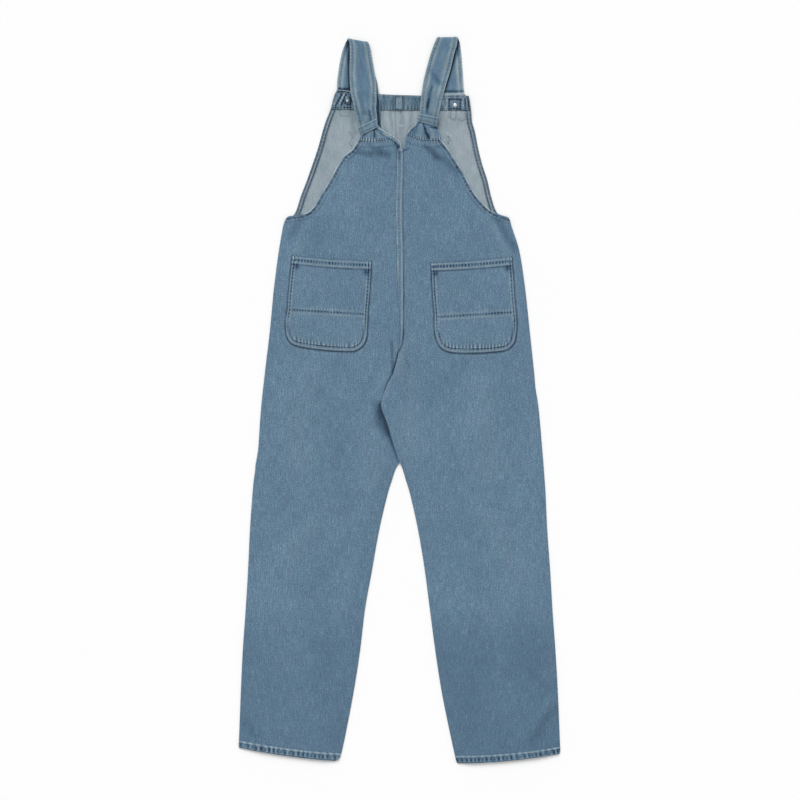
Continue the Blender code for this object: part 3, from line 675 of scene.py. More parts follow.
def rowLine(row):
    shares = np.linspace(0, 1, 24)[None, :]
    x, y = rowGrid(row[None, :], shares)
    return np.stack([x[0], y[0]], 1)


pocketOutlines = {side: pocketOutline(side) for side in pocketTables}
backPanel = {
    "flat": {"left": (0.369, 1.350), "right": (0.401, 1.363)}, "area": {"left": 0.362, "right": 0.371},
    "armholeHem": 10.5, "strapSeam": 13.0, "legHem": 15.5, "fell": 12.2, "neckHem": 7.5,
    "edges": (0, 1.0, 2.1, 3.4, 5.0, 7.0, 9.2, 10.6, 12.0, 14.5), "columns": 128,
}


def armholeSeam(line, seed):
    lines = (
        Line(0.8, 1.0, 1.4), Line(3.0, -0.4, 0.9), Line(6.0, -0.5, 2.2, 8.2, -0.75, 0.25),
        Line(5.0, 0.0, 1.6, 15.0, -0.6, 0.2), Line(9.6, 0.2, 1.2),
    )
    return seamOf(
        line, width=backPanel["armholeHem"], lift=0.9, lines=lines, stitches=(6.0,), tone=0.16,
        pucker=9.0, puckerHeight=0.35, puckerTone=0.14, puckerPlace=7.0, step=-0.3, seed=seed,
    )


def strapSeam(line, seed):
    lines = (Line(0.4, -0.35, 1.0), Line(3.2, 0.05, 1.0, 4.4, -0.35, 0.2), Line(7.4, 0.22, 1.0))
    return seamOf(
        line, width=backPanel["strapSeam"], lift=0.8, lines=lines, stitches=(3.2, 6.8), tone=0.0,
        pucker=5.4, puckerHeight=0.6, puckerTone=0.85, puckerPlace=0.5, puckerSpread=3.4, step=-0.12,
        seed=seed,
    )


def legHemSeam(line, seed):
    lines = (
        Line(0.6, -0.55, 1.3), Line(3.0, 0.1, 1.2), Line(13.4, 0.62, 1.4), Line(10.9, -0.45, 1.3),
        Line(6.4, 0.0, 3.4, 8.8, -1.2, 0.2),
    )
    return seamOf(
        line, width=backPanel["legHem"], lift=1.0, lines=lines, stitches=(13.2,), rope=13.0, tone=0.22,
        ropeHeight=0.7, ropeTone=0.34, ropeLean=0.3, step=-0.15, seed=seed,
    )


armholes = {"left": leftEdge(backLeftRows, 545, 384), "right": rightEdge(backRightRows, 546, 382)}
neckLines = (Line(0.7, 0.6, 1.1), Line(3.6, -0.12, 1.0, 5.0, -0.3, 0.2))
# the dark line at 13.2, just past the felled seam's raised edge, is painted shadow
fellLines = (
    Line(0.6, 0.72, 1.3), Line(3.0, -0.12, 1.1, 6.0, -0.4, 0.2), Line(6.2, -0.22, 1.2, 6.5, -0.42, 0.15),
    Line(9.8, 0.5, 1.5), Line(13.2, -0.78, 1.1), Line(15.6, 0.12, 1.2),
)
fellEdge = [(min(x, -5.6), y) for x, y in leftEdge(backRightRows, 523, 60)]
backSeams = {
    "left": [
        seamOf(rightEdge(backLeftRows, 549, 524), width=backPanel["neckHem"], lift=1.1, lines=neckLines,
               stitches=(3.4,), tone=0.34, step=-0.7, seed=14),
    ],
    "right": [
        seamOf(fellEdge, width=backPanel["fell"], lift=0.5, lines=fellLines, stitches=(2.6, 6.2, 9.8),
               tone=0.12, pucker=8.5, puckerHeight=0.2, puckerTone=0.06, step=-0.4, seed=24, fade=(116, 158)),
        seamOf(leftEdge(backRightRows, 557, 525), width=5.0, lift=0.7, lines=neckLines[:1],
               stitches=(2.6,), seed=25),
    ],
}
for side, seed in (("left", 11), ("right", 21)):
    rows = backRows[side]
    backSeams[side] = [
        armholeSeam(armholes[side], seed), strapSeam(rowLine(rows[0]), seed + 1),
        legHemSeam(rowLine(rows[-1]), seed + 2), *backSeams[side],
    ]
# The right leg's fold runs on from the felled seam, down to the tip and on to where the legs part
foldLine = (
    (7.2, 160), (6.6, 135), (5.0, 118), (1.0, 108), (-4.5, 97), (-9.5, 76), (-17, 52), (-29, 28),
    (-40, -10),
)
shadowLine = ((-42, -4), (-38, -18), (-27, -50), (-9, -110), (-1.5, -130))


def foldShade(side, x, y, wearAndShade):
    # a dark line along the fold, and the shade under the right leg
    d, s = toLine(x, y, foldLine)
    strength = ease((s + 4) / 30) * (1 - 0.25 * ease((s - 80) / 90)) * ease((x + 60) / 10)
    if side == "right":
        free = ease((104 - y) / 10)
        wearAndShade = wearAndShade - 0.95 * strength * bump(d, 1.5) * (1 - free)
        return wearAndShade + 0.12 * free * ease((y + 90) / 30) * bump(d - 3, 2.4)
    d2, s2 = toLine(x, y, shadowLine)
    reach = 4.0 + 9.5 * ease(s2 / 24) * (1 - ease((s2 - 30) / 75))
    under = (1 - 0.45 * ease((s2 - 70) / 60)) * ease((y + 134) / 14) * ease(s2 / 6 + 0.2)
    return wearAndShade - 1.25 * strength * bump(d, 1.9) - under * bump(d2, reach)


def shadedAndWorn(side, x, y, wearAndShade):
    # painted shade: the shins darker, the right one most, and a dark line of painted shadow along the
    # armhole's edge at the hips
    edge = toLine(x, y, armholes[side])[0]
    wearAndShade = wearAndShade - 1.1 * bump(edge, 2.0) * ease((abs(x) - 196) / 12)
    return wearAndShade - (0.1 if side == "left" else 0.15) * ease((-400 - y) / 140)


def pocketShadow(side, x, y, wearAndShade):
    # painted shadow just outside a pocket's edge, weaker along the bottom, and a faint pale ring beyond it
    d, s = toLine(x, y, pocketOutlines[side])
    strength = (0.68 + 0.26 * softNoise(s, d, 15, 7)) * (1 - 0.4 * ease((126 - y) / 14))
    return wearAndShade - strength * bump(d, 2.2) + 0.08 * bump(d - 5, 2.5)


def sewnBack(side):
    # the finished top of a back panel
    def surface(x, y):
        z, wearAndShade = backSurface(side, x, y)
        for seam in backSeams[side]:
            z, wearAndShade = sewn(seam, x, y, z, wearAndShade)
        if side == "left":
            roll = np.hypot(x + 2.6, (y - 531) * 0.8)  # rolled end of the neck binding
            z = z - 1.2 * bump(roll, 2.6) + 0.9 * bump(roll - 5, 2)
            # a painted dark hole of shade in the binding's rolled end, with a pale ring round it
            wearAndShade = wearAndShade - 1.3 * bump(roll, 3.0) + 0.35 * bump(roll - 5.5, 1.6)
        return z, pocketShadow(side, x, y, shadedAndWorn(side, x, y, foldShade(side, x, y, wearAndShade)))

    return surface


def hemRows(rows):
    # closer rows at the leg hem, so that its ropes are crisp
    tail = [rows[-1] + (rows[-9] - rows[-1]) * t for t in np.linspace(1, 0, 19)[1:]]
    return np.concatenate([rows[:-8], tail])


def roundCorners(rows, side):
    # draws the last rows in at both ends, most at the corner that the photograph shows round
    for column, sign, radius in ((0, 1, 3.5 if side == "left" else 3.0), (2, -1, 8.5)):
        up = np.hypot(rows[:, column] - rows[-1, column], rows[:, column + 1] - rows[-1, column + 1])
        up = np.minimum(up, radius)
        rows[:, column] += sign * (radius - np.sqrt(np.maximum(0, radius**2 - (radius - up) ** 2)))
    return rows


def addBack(side):
    rows = roundCorners(hemRows(backRows[side]), side)
    widths = np.hypot(rows[:, 2] - rows[:, 0], rows[:, 3] - rows[:, 1])
    x, y = rowGrid(rows, rowShares(widths, backPanel["edges"], backPanel["columns"]))
    return layCloth("back_" + side, x, y, sewnBack(side), cloth["backWall"], denimOut, rim=3)


backs = {side: addBack(side) for side in bothSides}
print("back panels laid")


# Front legs, which lie on the surface under the back
frontLeg = {
    "flat": {"left": (0.363, 1.149), "right": (0.361, 1.155)}, "area": {"left": 0.322, "right": 0.323},
    "top": 348, "inset": 2.2, "join": 0.2, "columns": 20,
}


def frontSurface(x, y):
    return cloth["frontWall"] + 0.12 * softNoise(x, y, 60, 31), 0.05 * softNoise(x, y, 40, 32)


def addFrontLeg(side):
    rows = backRows[side][::2].copy()
    rows = rows[np.maximum(rows[:, 1], rows[:, 3]) < frontLeg["top"]]
    outer, inner, sign = (0, 2, 1) if side == "left" else (2, 0, -1)
    joined = rows[:, inner + 1] > -126
    rows[joined, inner] = -frontLeg["join"] * sign
    rows[:, outer] += frontLeg["inset"] * sign
    rows[~joined, inner] -= frontLeg["inset"] * sign
    x, y = rowGrid(rows, np.linspace(0, 1, frontLeg["columns"] + 1)[None, :].repeat(len(rows), 0))
    piece = layCloth(
        "front_leg_" + side, x, y, frontSurface, cloth["frontWall"], denimOut,
        under=lambda x, y: x * 0 + 0.02,
    )


for side in bothSides:
    addFrontLeg(side)


# Pockets, sewn on the panels
def pocketSeams(side, mouthLine, seed):
    # closer stitching down the sides than along the bottom, and a wide turned mouth; each dark line at the
    # rim is painted shadow
    sideLines = (
        Line(0.2, -0.8, 0.9), Line(2.3, 0.14, 1.1), Line(5.0, -0.75, 1.5, 7.4, -0.9, 0.35),
        Line(7.8, 0.26, 1.3), Line(10.2, -0.25, 1.0),
    )
    bottomLines = (
        Line(0.2, -0.8, 0.9), Line(2.6, 0.16, 1.5), Line(4.8, -0.2, 1.0, 6.0, -0.3, 0.2),
        Line(6.2, 0.12, 1.0), Line(8.3, -1.05, 1.4, 7.0, -0.7, 0.35), Line(10.8, 0.2, 1.2),
    )
    mouthLines = (
        Line(0.2, -0.6, 0.9), Line(2.6, 0.24, 1.3), Line(7.6, -0.15, 3.1, 6.4, -1.3, 0.2),
        Line(13.4, 0.3, 1.7),
    )
    sides, bottom = (
        seamOf(
            pocketOutlines[side], width=pocket["edgeBand"] - narrower, lift=0.35, lines=lines, seed=seed + k,
            step=0.0, tone=0.2, pucker=9.0, puckerHeight=0.3, puckerTone=tone, puckerPlace=6.0,
            puckerSpread=3.0,
        )
        for k, (lines, narrower, tone) in enumerate(((sideLines, 3, 0.12), (bottomLines, 2, 0.1)))
    )
    mouth = seamOf(
        mouthLine, width=pocket["mouth"], lift=0.8, lines=mouthLines, seed=seed + 3, tone=0.16, step=-0.8,
        pucker=10.0, puckerHeight=0.25, puckerTone=0.05, puckerPlace=8.0,
    )
    return sides, bottom, mouth


def addPocket(side):
    seed = 140 if side == "left" else 150
    rows = denseRows(pocketTables[side], 1.25)
    x, y = rowGrid(rows, rowShares(rows[:, 2] - rows[:, 0], pocket["edges"], pocket["columns"]))
    mouthLine = rowLine(rows[0])
    crossLine = rowLine(rows[int(np.argmax(rows[:, 1] < pocket["cross"][side]))])
    sides, bottom, mouth = pocketSeams(side, mouthLine, seed)
    outline = pocketOutlines[side]
    rounded = outline[outline[:, 1] < 145]
    rounded = rounded[np.argsort(rounded[:, 0])]

    def crossY(x):
        return np.interp(x, crossLine[:, 0], crossLine[:, 1])

    def gathers(x, y):
        # upright puckers over the bottom seam, uneven in length and strength
        up = y - np.interp(x, rounded[:, 0], rounded[:, 1])
        inside = ease((x - rounded[0, 0] - 8) / 14) * ease((rounded[-1, 0] - 8 - x) / 14)
        wave = np.sin(2 * pi * (x / pocket["gather"] + 0.5 * drift(x, 19, seed + 9)))
        reach = 5.5 + 2.5 * drift(x, 9, seed + 11)
        return wave * (0.9 + 0.3 * drift(x, 30, seed + 10)) * bump(up - 11.5, reach) * inside

    def surface(x, y):
        base, _ = backSurface(side, x, y)
        d, _ = toLine(x, y, outline)
        z = base + cloth["gap"] + cloth["patchWall"] + 1.5 * ease(d / 40) + 0.6 * ease(d / 3)
        wearAndShade = 0.03 * softNoise(x, y, 30, seed + 5)
        low = ease((168 - y) / 40)
        sideZ, sideWearAndShade = sewn(sides, x, y, z, wearAndShade)
        bottomZ, bottomWearAndShade = sewn(bottom, x, y, z, wearAndShade)
        z, wearAndShade = mixed(sideZ, bottomZ, low), mixed(sideWearAndShade, bottomWearAndShade, low)
        z, wearAndShade = sewn(mouth, x, y, z, wearAndShade)
        pucker = gathers(x, y)
        # the puckers are paler on their tops and darker between: wear with painted light and shade
        z, wearAndShade = z + 0.5 * pucker, wearAndShade + 0.62 * pucker
        below = crossY(x) - y
        z = z + pocket["doubled"] * ease(below / 1.5)
        away = ease((d - 7) / 3)
        uneven = 0.75 + 0.45 * drift(x, 13, seed + 12)
        tick = dashes(x, 6.6, seed + 6) * uneven
        spike = dashes(x + 2.2, 5.6, seed + 8) * (1.9 - uneven)
        z = z - 0.5 * tick * bump(below - 1.2, 1.6)
        # painted shade along the doubled layer's edge and in its dents, and pale streaks beside them, wear
        # with painted light
        wearAndShade = wearAndShade + away * 0.42 * spike * bump(below + 3.6, 3.6)
        wearAndShade = wearAndShade + away * 0.26 * bump(below - 4.8, 2.8) * (0.4 + spike)
        wearAndShade = wearAndShade - away * (0.3 + 1.7 * tick) * bump(below - 0.6, 2.2)
        wearAndShade = wearAndShade + 0.03 * ease(below / 6)
        for inwards, (cx, cy) in ((1, mouthLine[0]), (-1, mouthLine[-1])):
            near = np.hypot(x - cx, y - cy + 4)
            inward = np.hypot(x - cx - inwards * 9, y - cy + 22)
            wearAndShade = wearAndShade + 0.55 * bump(near, 6.0) - 0.95 * bump(inward, 5.5)
        return z, wearAndShade

    piece = layCloth("back_pocket_" + side, x, y, surface, cloth["patchWall"], denimOut, rim=3)
    edgeRun, innerRun = (besideLine(outline, offset) for offset in pocket["stitches"])
    runs = [edgeRun[3:-3], innerRun[40:-40]]
    runs += [besideLine(mouthLine, -offset)[2:-2] for offset in pocket["mouthStitches"]]
    crossX = np.arange(crossLine[0, 0] + 6, crossLine[-1, 0] - 6, 2.0)
    runs.append(np.stack([crossX, crossY(crossX) - 1.6], 1))
    runs = [onSurface(run, surface) for run in runs]
    stitches = stitchMesh("back_pocket_" + side + "_stitches", runs)


for side in bothSides:
    addPocket(side)
print("pockets sewn on")


# Bib, its band and tab, which show their wrong side
bibParts = {
    "wall": 1.2, "hem": 10.3, "bandTop": 638.0, "bandHeight": 29.0, "bandInset": 0.008,
    "lift": 4.0, "liftFade": 32.0, "tabCentre": -2.0, "tabWidth": 15.0, "pucker": 7.2,
    "edges": (0, 1.0, 2.2, 3.6, 5.4, 7.4, 9.0, 10.4, 13), "columns": 168,
    "flat": (0.503, 0.335), "area": 0.127, "bandFlat": (0.289, 0.036), "tabFlat": (0.018, 0.030),
}
Button = namedtuple("Button", "x y liftLeft liftRight liftBottom")
buttons = {"left": Button(-110.5, 627, -137, -80, 611), "right": Button(115.5, 618, 80, 137, 605)}
# Soft troughs and ridges of the bib: painted shade in troughs, painted light on ridges; the last two are
# painted shadows beside the straps
bibCreases = (
    (-30, 604, -26, 572, 5, 0.6, 0.10), (-36, 600, -33, 566, 4, -0.5, -0.22),
    (-20, 602, -14, 566, 4, -0.5, -0.20), (3, 606, 1, 560, 3.5, -0.6, -0.24),
    (12, 604, 14, 560, 5, 0.6, 0.12), (24, 602, 22, 556, 4.5, -0.5, -0.22),
    (33, 600, 37, 566, 4, 0.4, 0.08), (-118, 600, -128, 520, 18, 0.6, 0.04),
    (-150, 560, -160, 480, 16, -0.6, -0.05), (-176, 470, -196, 420, 14, 0.6, 0.04),
    (120, 590, 128, 510, 18, 0.6, 0.04), (148, 560, 152, 480, 16, -0.6, -0.05),
    (166, 480, 180, 430, 14, 0.5, 0.04), (100, 560, 112, 500, 12, -0.5, -0.05),
    (-103, 606, -94, 560, 6, -0.4, -0.3), (86, 604, 83, 572, 6, -0.4, -0.3),
)
# Lines of stitching that come through from the outer side: how dark, then the points
bibMarks = (
    (-0.3, (-127, 612), (-107, 611), (-106, 595), (-126, 596), (-127, 612)),
    (-0.25, (-121, 604), (-110, 603)), (-0.4, (-107, 563), (-100, 550), (-106, 537), (-95, 524)),
    (-0.3, (-101, 561), (-96, 548), (-101, 535)),
    (-0.45, (107, 609), (105, 591), (112, 588), (117, 588), (118, 606)),
    (-0.45, (134, 608), (138, 590), (131, 585), (124, 588)),
    (-0.45, (101, 553), (106, 545), (99, 541), (104, 536)), (0.4, (99, 561), (106, 555)),
    (0.55, (-1, 577), (6, 576)), (-0.4, (-11, 609), (-10.5, 590), (-9, 555)),
    (0.3, (-13.5, 609), (-13, 590), (-11.5, 555)), (-0.22, (6, 606), (8, 580), (7, 558)),
)


def bibLift(x, y):
    # how far a strap end and its button hold the bib off the surface
    height = np.zeros(np.shape(x))
    for button in buttons.values():
        aside = np.maximum(0, np.maximum(button.liftLeft - x, x - button.liftRight))
        below = np.maximum(0, button.liftBottom - y)
        near = ease(1 - np.hypot(aside, below) / bibParts["liftFade"])
        height = np.maximum(height, bibParts["lift"] * near)
    return height


bibHems = [
    seamOf(
        [(r[side], r[side + 1]) for r in bibRows], width=bibParts["hem"], lift=0.8, tone=-0.66,
        seed=60 + side, lines=(
            Line(0.6, -0.05, 1.0), Line(2.8, -0.3, 1.5, 9.0, -0.3, 0.25), Line(5.7, 0.68, 1.5),
            Line(9.0, -0.4, 1.7, 7.5, -0.4, 0.25),
        ),
        pucker=9.0, puckerHeight=0.3, puckerTone=0.16, step=-0.1,
    )
    for side in (0, 2)
]


def marked(x, y, z, wearAndShade, marks, width=0.9):
    for number, (tone, *line) in enumerate(marks):
        d, s = toLine(x, y, line)
        z = z - 0.25 * bump(d, width)
        wearAndShade = wearAndShade + tone * (1.0 + 0.4 * np.sin(2 * pi * s / 6.5)) * bump(d, width)
    return z, wearAndShade


def bibLip(x, y):
    # the turned top edge stands a little higher beside the right strap
    return 4.5 * ease((x - 86) / 8) * ease((140 - x) / 8) * ease((y - 618) / 18)


def bibSurface(x, y):
    height, shade = creaseField(x, y, bibCreases)
    z = bibLift(x, y) + bibParts["wall"] + 0.25 * softNoise(x, y, 34, 61) + 0.25
    covered = ease((430 - y) / 40)
    z = z + height * (1 - covered)
    wearAndShade = shade + 0.06 * softNoise(x, y, 46, 62)
    wearAndShade = wearAndShade + 0.4 * bump(y - 643 - (x < 0) * 6, 4) * (np.abs(x + 3) > 75)
    for hem in bibHems:
        z, wearAndShade = sewn(hem, x, y, z, wearAndShade)
    z, wearAndShade = marked(x, y, z, wearAndShade, bibMarks, 1.6)
    ceiling = mixed(9.0, 1.55, ease((416 - y) / 20))
    return np.minimum(z, ceiling), wearAndShade


def bibUnder(x, y):
    return np.maximum(bibLift(x, y), 0.02)


def bibGrid(rows, inset=0.0):
    shares = rowShares(rows[:, 2] - rows[:, 0], bibParts["edges"], bibParts["columns"])
    x, y = rowGrid(rows, inset + shares * (1 - 2 * inset))
    return x, y + bibLip(x, y) * (1 - 40 * inset)


bibFine = denseRows(bibRows[bibRows[:, 1] > 600][::2], 1.3)
x, y = bibGrid(np.concatenate([bibFine, bibRows[bibRows[:, 1] < bibFine[-1, 1] - 1]]))
bib = layCloth("bib", x, y, bibSurface, bibParts["wall"], denimIn, under=bibUnder)

bandRows = denseRows(((-132.4, 649.5, 144.4, 636.5, 4.6), (-146, 609, 149, 607, 0)), 1.2)
bandLower = seamOf(
    rowLine(bandRows[-1]), width=13.0, lift=0.2, seed=71, step=0.0,
    lines=(Line(0.3, -0.5, 0.8), Line(1.6, 0.1, 0.9), Line(3.4, -0.1, 1.0, 4.6, -0.35, 0.2)),
    pucker=bibParts["pucker"], puckerHeight=0.7, puckerTone=0.6, puckerPlace=4.5, puckerSpread=5.5,
)
bandUpper = seamOf(
    rowLine(bandRows[0]), width=6.0, lift=0.2, seed=74, step=0.0,
    lines=(Line(0.4, -0.2, 0.8), Line(2.0, 0.2, 1.0), Line(4.0, -0.12, 0.9, 4.4, -0.3, 0.2)),
    pucker=11.0, puckerHeight=0.4, puckerTone=0.3, puckerPlace=4.0, puckerSpread=4.5,
)
# Marks round the buttons on the band: how dark, then the points; the dark line at x -104 is painted shadow of
# the strap
buttonMarks = (
    (-1.7, (-130, 646), (-118, 647), (-106, 645)), (-1.6, (-122, 641), (-135, 617)),
    (1.0, (-117.5, 641), (-130, 616)), (-1.5, (-113, 641), (-123, 618)),
    (-1.3, (-106, 635), (-102, 628), (-104, 621), (-110, 619), (-115, 622), (-117, 628)),
    (0.7, (-112, 635), (-116.5, 633)), (0.5, (-117, 629), (-116, 625)), (-1.0, (-104, 641), (-104, 612)),
    (-1.1, (-119, 614), (-104, 613)), (0.9, (-139, 622), (-146, 610)), (-1.2, (-134, 614), (-141, 607)),
    (0.7, (98.7, 629), (98.7, 606)), (-1.1, (103, 630), (103, 607)), (-1.0, (103, 630.5), (127, 630)),
    (-1.1, (127, 630), (125.5, 608)), (-0.8, (106, 611), (124, 610)), (0.8, (132, 632), (132, 612)),
    (-1.1, (136.5, 631), (138, 607)), (0.8, (139.5, 631), (141, 607)), (-1.1, (142.5, 631), (144.5, 607)),
)


def bandSurface(x, y):
    z = bibLift(x, y) + 2 * bibParts["wall"] + cloth["gap"] + 0.25 + 0.35 * softNoise(x, y * 0.4, 13, 72)
    wearAndShade = 0.3 * softNoise(x, y * 0.5, 8, 73)
    z, wearAndShade = sewn(bandLower, x, y, z, wearAndShade)
    z, wearAndShade = sewn(bandUpper, x, y, z, wearAndShade)
    return marked(x, y, z, wearAndShade, buttonMarks, 1.3)


def bandUnder(x, y):
    return bibLift(x, y) + bibParts["wall"] + cloth["gap"]


x, y = bibGrid(bandRows, bibParts["bandInset"])
bibBand = layCloth(
    "bib_band", x, y, bandSurface, bibParts["wall"], denimBand, under=bandUnder
)

tabLeft = bibParts["tabCentre"] - bibParts["tabWidth"] / 2
tabRight = bibParts["tabCentre"] + bibParts["tabWidth"] / 2
tabRows = denseRows(((tabLeft, 637.4, tabRight, 637.2, 0), (tabLeft, 609, tabRight, 608.6, 0)), 1.3)
tabEdges = [
    seamOf([(r[side], r[side + 1]) for r in tabRows], width=4.0, lift=0.3, seed=80 + side, step=-0.1,
           lines=(Line(0.3, -0.95, 1.3), Line(2.6, 0.3, 1.3, 6.0, -0.25, 0.2)))
    for side in (0, 2)
]


def tabSurface(x, y):
    z = bandUnder(x, y) + 2 * bibParts["wall"] + 0.85
    wearAndShade = 0.3 + 0.25 * softNoise(x, y, 7, 82) - 0.6 * bump(y - 609, 1.6) - 0.4 * bump(y - 637, 1.4)
    for edge in tabEdges:
        z, wearAndShade = sewn(edge, x, y, z, wearAndShade)
    return z, wearAndShade


x, y = rowGrid(tabRows, np.linspace(0, 1, 15)[None, :].repeat(len(tabRows), 0))
bibTab = layCloth("bib_tab", x, y, tabSurface, bibParts["wall"], denimBand)
bibStitches = stitchMesh(
    "bib_stitches",
    [onSurface(besideLine(bandLower["line"], offset), bandSurface) for offset in (2.6, 6.2)]
    + [onSurface(besideLine(bandUpper["line"], -3.2), bandSurface)]
    + [
        onSurface(besideLine(hem["line"], sign * offset), bibSurface)
        for hem, sign in zip(bibHems, (1, -1)) for offset in (2.2, 7.4)
    ],
)
print("bib made")


# Straps: from the button under the bib, over the fold at the top, down to the keeper
strapParts = {
    "strip": 7.2, "stripLift": 0.45, "stitches": (1.9, 5.9), "stripe": 9.8, "across": 30, "step": 1.6,
    "restMargin": 0.4, "flankDrop": 0.85, "flat": (0.062, 0.36),
}
# From the lower run's start, over the fold, down to the keeper: left x and y, right x and y, both heights
strapTables = {
    "left": (
        (-131, 613, -82, 613, 3.0, 3.0), (-131, 643, -82, 643, 3.0, 3.0), (-132, 661, -81, 660, 2.2, 2.2),
        (-129, 691, -79, 687, 0.9, 0.9), (-122, 729, -71, 722, 0.9, 0.9), (-114, 750, -65, 742, 0.9, 0.9),
        (-111.5, 754.6, -66, 746.6, 1.1, 1.1), (-110, 758.2, -67.5, 750.6, 3.0, 3.0),
        (-108, 755.2, -65, 746.2, 5.2, 5.0), (-105.5, 745, -62, 736, 5.2, 4.6),
        (-105, 723, -59, 717, 4.6, 3.8), (-106, 689, -54, 689, 4.4, 3.2), (-105, 661, -50, 660, 6.6, 4.7),
        (-103, 644, -50, 641, 8.6, 5.8), (-99, 625, -50, 626, 8.6, 5.8), (-96, 609, -51, 613, 8.2, 5.6),
        (-91, 590, -50, 603, 6.4, 5.0), (-84, 564, -47.7, 581.3, 3.6, 3.6),
    ),
    "right": (
        (84, 607, 134, 607, 3.0, 3.0), (84, 640, 134, 640, 3.0, 3.0), (83, 655, 133, 656, 2.2, 2.2),
        (81, 690, 131, 692, 0.9, 0.9), (78, 727, 128, 729, 0.9, 0.9), (76, 748, 125, 750, 0.9, 0.9),
        (77, 755, 123, 756, 1.1, 1.1), (77.3, 760.4, 121, 761.2, 3.0, 3.0), (76, 757, 120.5, 757, 5.0, 5.2),
        (72, 748, 119, 745, 4.6, 5.2), (64.5, 727, 114, 729, 3.8, 4.6), (54.4, 691, 105, 691, 3.2, 4.4),
        (48.6, 665, 97, 664, 4.7, 6.4), (45, 642, 91, 642, 5.8, 8.6), (43.2, 628, 87, 628, 5.8, 8.6),
        (42.4, 615, 83.5, 612, 5.4, 8.4), (41, 604, 80, 595, 4.6, 6.6),
        (38.7, 592.3, 78.8, 582.8, 3.6, 4.6),
    ),
}
# The left strap's right side is turned down on its way into the keeper: how wide, by height
flankWidths = {
    "left": ((577, 8.5), (598, 10.0), (625, 9.0), (647, 5.2), (684, 0.0)),
    "right": ((577, 0), (700, 0)),
}
# Creases of the straps: ends, width, height, and painted shade in troughs with painted light on ridges
strapCreases = {
    "left": (
        (-64, 604, -61, 588, 2.4, -1.6, -0.75), (-92, 660, -82, 606, 7, 0.8, 0.05),
        (-78, 720, -74, 650, 9, -0.5, -0.06), (-86, 640, -76, 600, 4, -0.8, -0.22),
        (-74, 630, -68, 592, 4, 0.7, 0.14), (-92, 612, -81, 584, 3.4, -0.6, -0.3),
        (-58, 640, -56, 600, 5, -0.6, -0.14), (-78, 606, -72, 584, 2.6, 0.4, 0.2),
    ),
    "right": (
        (66.5, 655, 57.4, 614, 2.3, -1.4, -0.62), (60.5, 630, 56.2, 604, 2.4, -1.4, -0.6),
        (60, 645, 53, 604, 4, -0.6, -0.2), (69, 684, 82, 664, 6.5, -0.8, -0.34),
        (72, 672, 79, 668, 4.5, -0.4, -0.2), (73, 656, 66, 606, 5, 0.9, 0.22),
        (54, 664, 50, 604, 3.4, 0.7, 0.2), (88, 720, 80, 676, 8, 0.5, 0.05),
        (96, 716, 84, 640, 7, 0.4, 0.08), (77, 628, 71, 600, 4, -0.6, -0.16),
    ),
}


def strapRest(x, y):
    # height of a strap's middle where it lies on the bib and its band
    onBand = ease((y - bibParts["bandTop"] + bibParts["bandHeight"] + 24) / 24)
    onBib = 1 - ease((y - bibParts["bandTop"] - 8) / 22)
    under = bibLift(x, y) + bibParts["wall"] + onBand * (bibParts["wall"] + cloth["gap"]) + 0.5
    return under * onBib + cloth["gap"] + strapParts["restMargin"] + cloth["strapWall"] / 2


def strapLine(side):
    # middle points of the strap, with the right side of the left one turned down beside it
    rows = denseRows(strapTables[side], strapParts["step"])
    fold = int(np.argmax(rows[:, 1] + rows[:, 3]))
    flank = np.interp(rows[:, 1], *np.array(flankWidths[side]).T) * (np.arange(len(rows)) > fold)
    shares = np.linspace(0, 1, strapParts["across"] + 1)[None, :]
    x = rows[:, 0:1] + (rows[:, 2:3] - rows[:, 0:1]) * shares
    y = rows[:, 1:2] + (rows[:, 3:4] - rows[:, 1:2]) * shares
    z = rows[:, 4:5] + (rows[:, 5:6] - rows[:, 4:5]) * shares
    onTop = (np.arange(len(rows)) > fold + 4)[:, None]
    z = np.where(onTop, np.maximum(z, strapRest(x, y)), z)
    extra = np.linspace(0, 1, 8)[None, 1:]
    fx = x[:, -1:] + np.maximum(flank[:, None], 0.3) * extra
    fy = y[:, -1:] - extra * (flank[:, None] > 0.5) * 11 * ease((640 - y[:, -1:]) / 60)
    fz = np.maximum(z[:, -1:] - flank[:, None] * strapParts["flankDrop"] * np.sin(extra * pi / 2), 0)
    fz = np.where(onTop, np.maximum(fz, np.minimum(strapRest(fx, fy), z[:, -1:])), z[:, -1:])
    x, y, z = (np.concatenate(pair, 1) for pair in ((x, fx), (y, fy), (z, fz)))
    return np.stack([x, y, z], -1), fold, flank


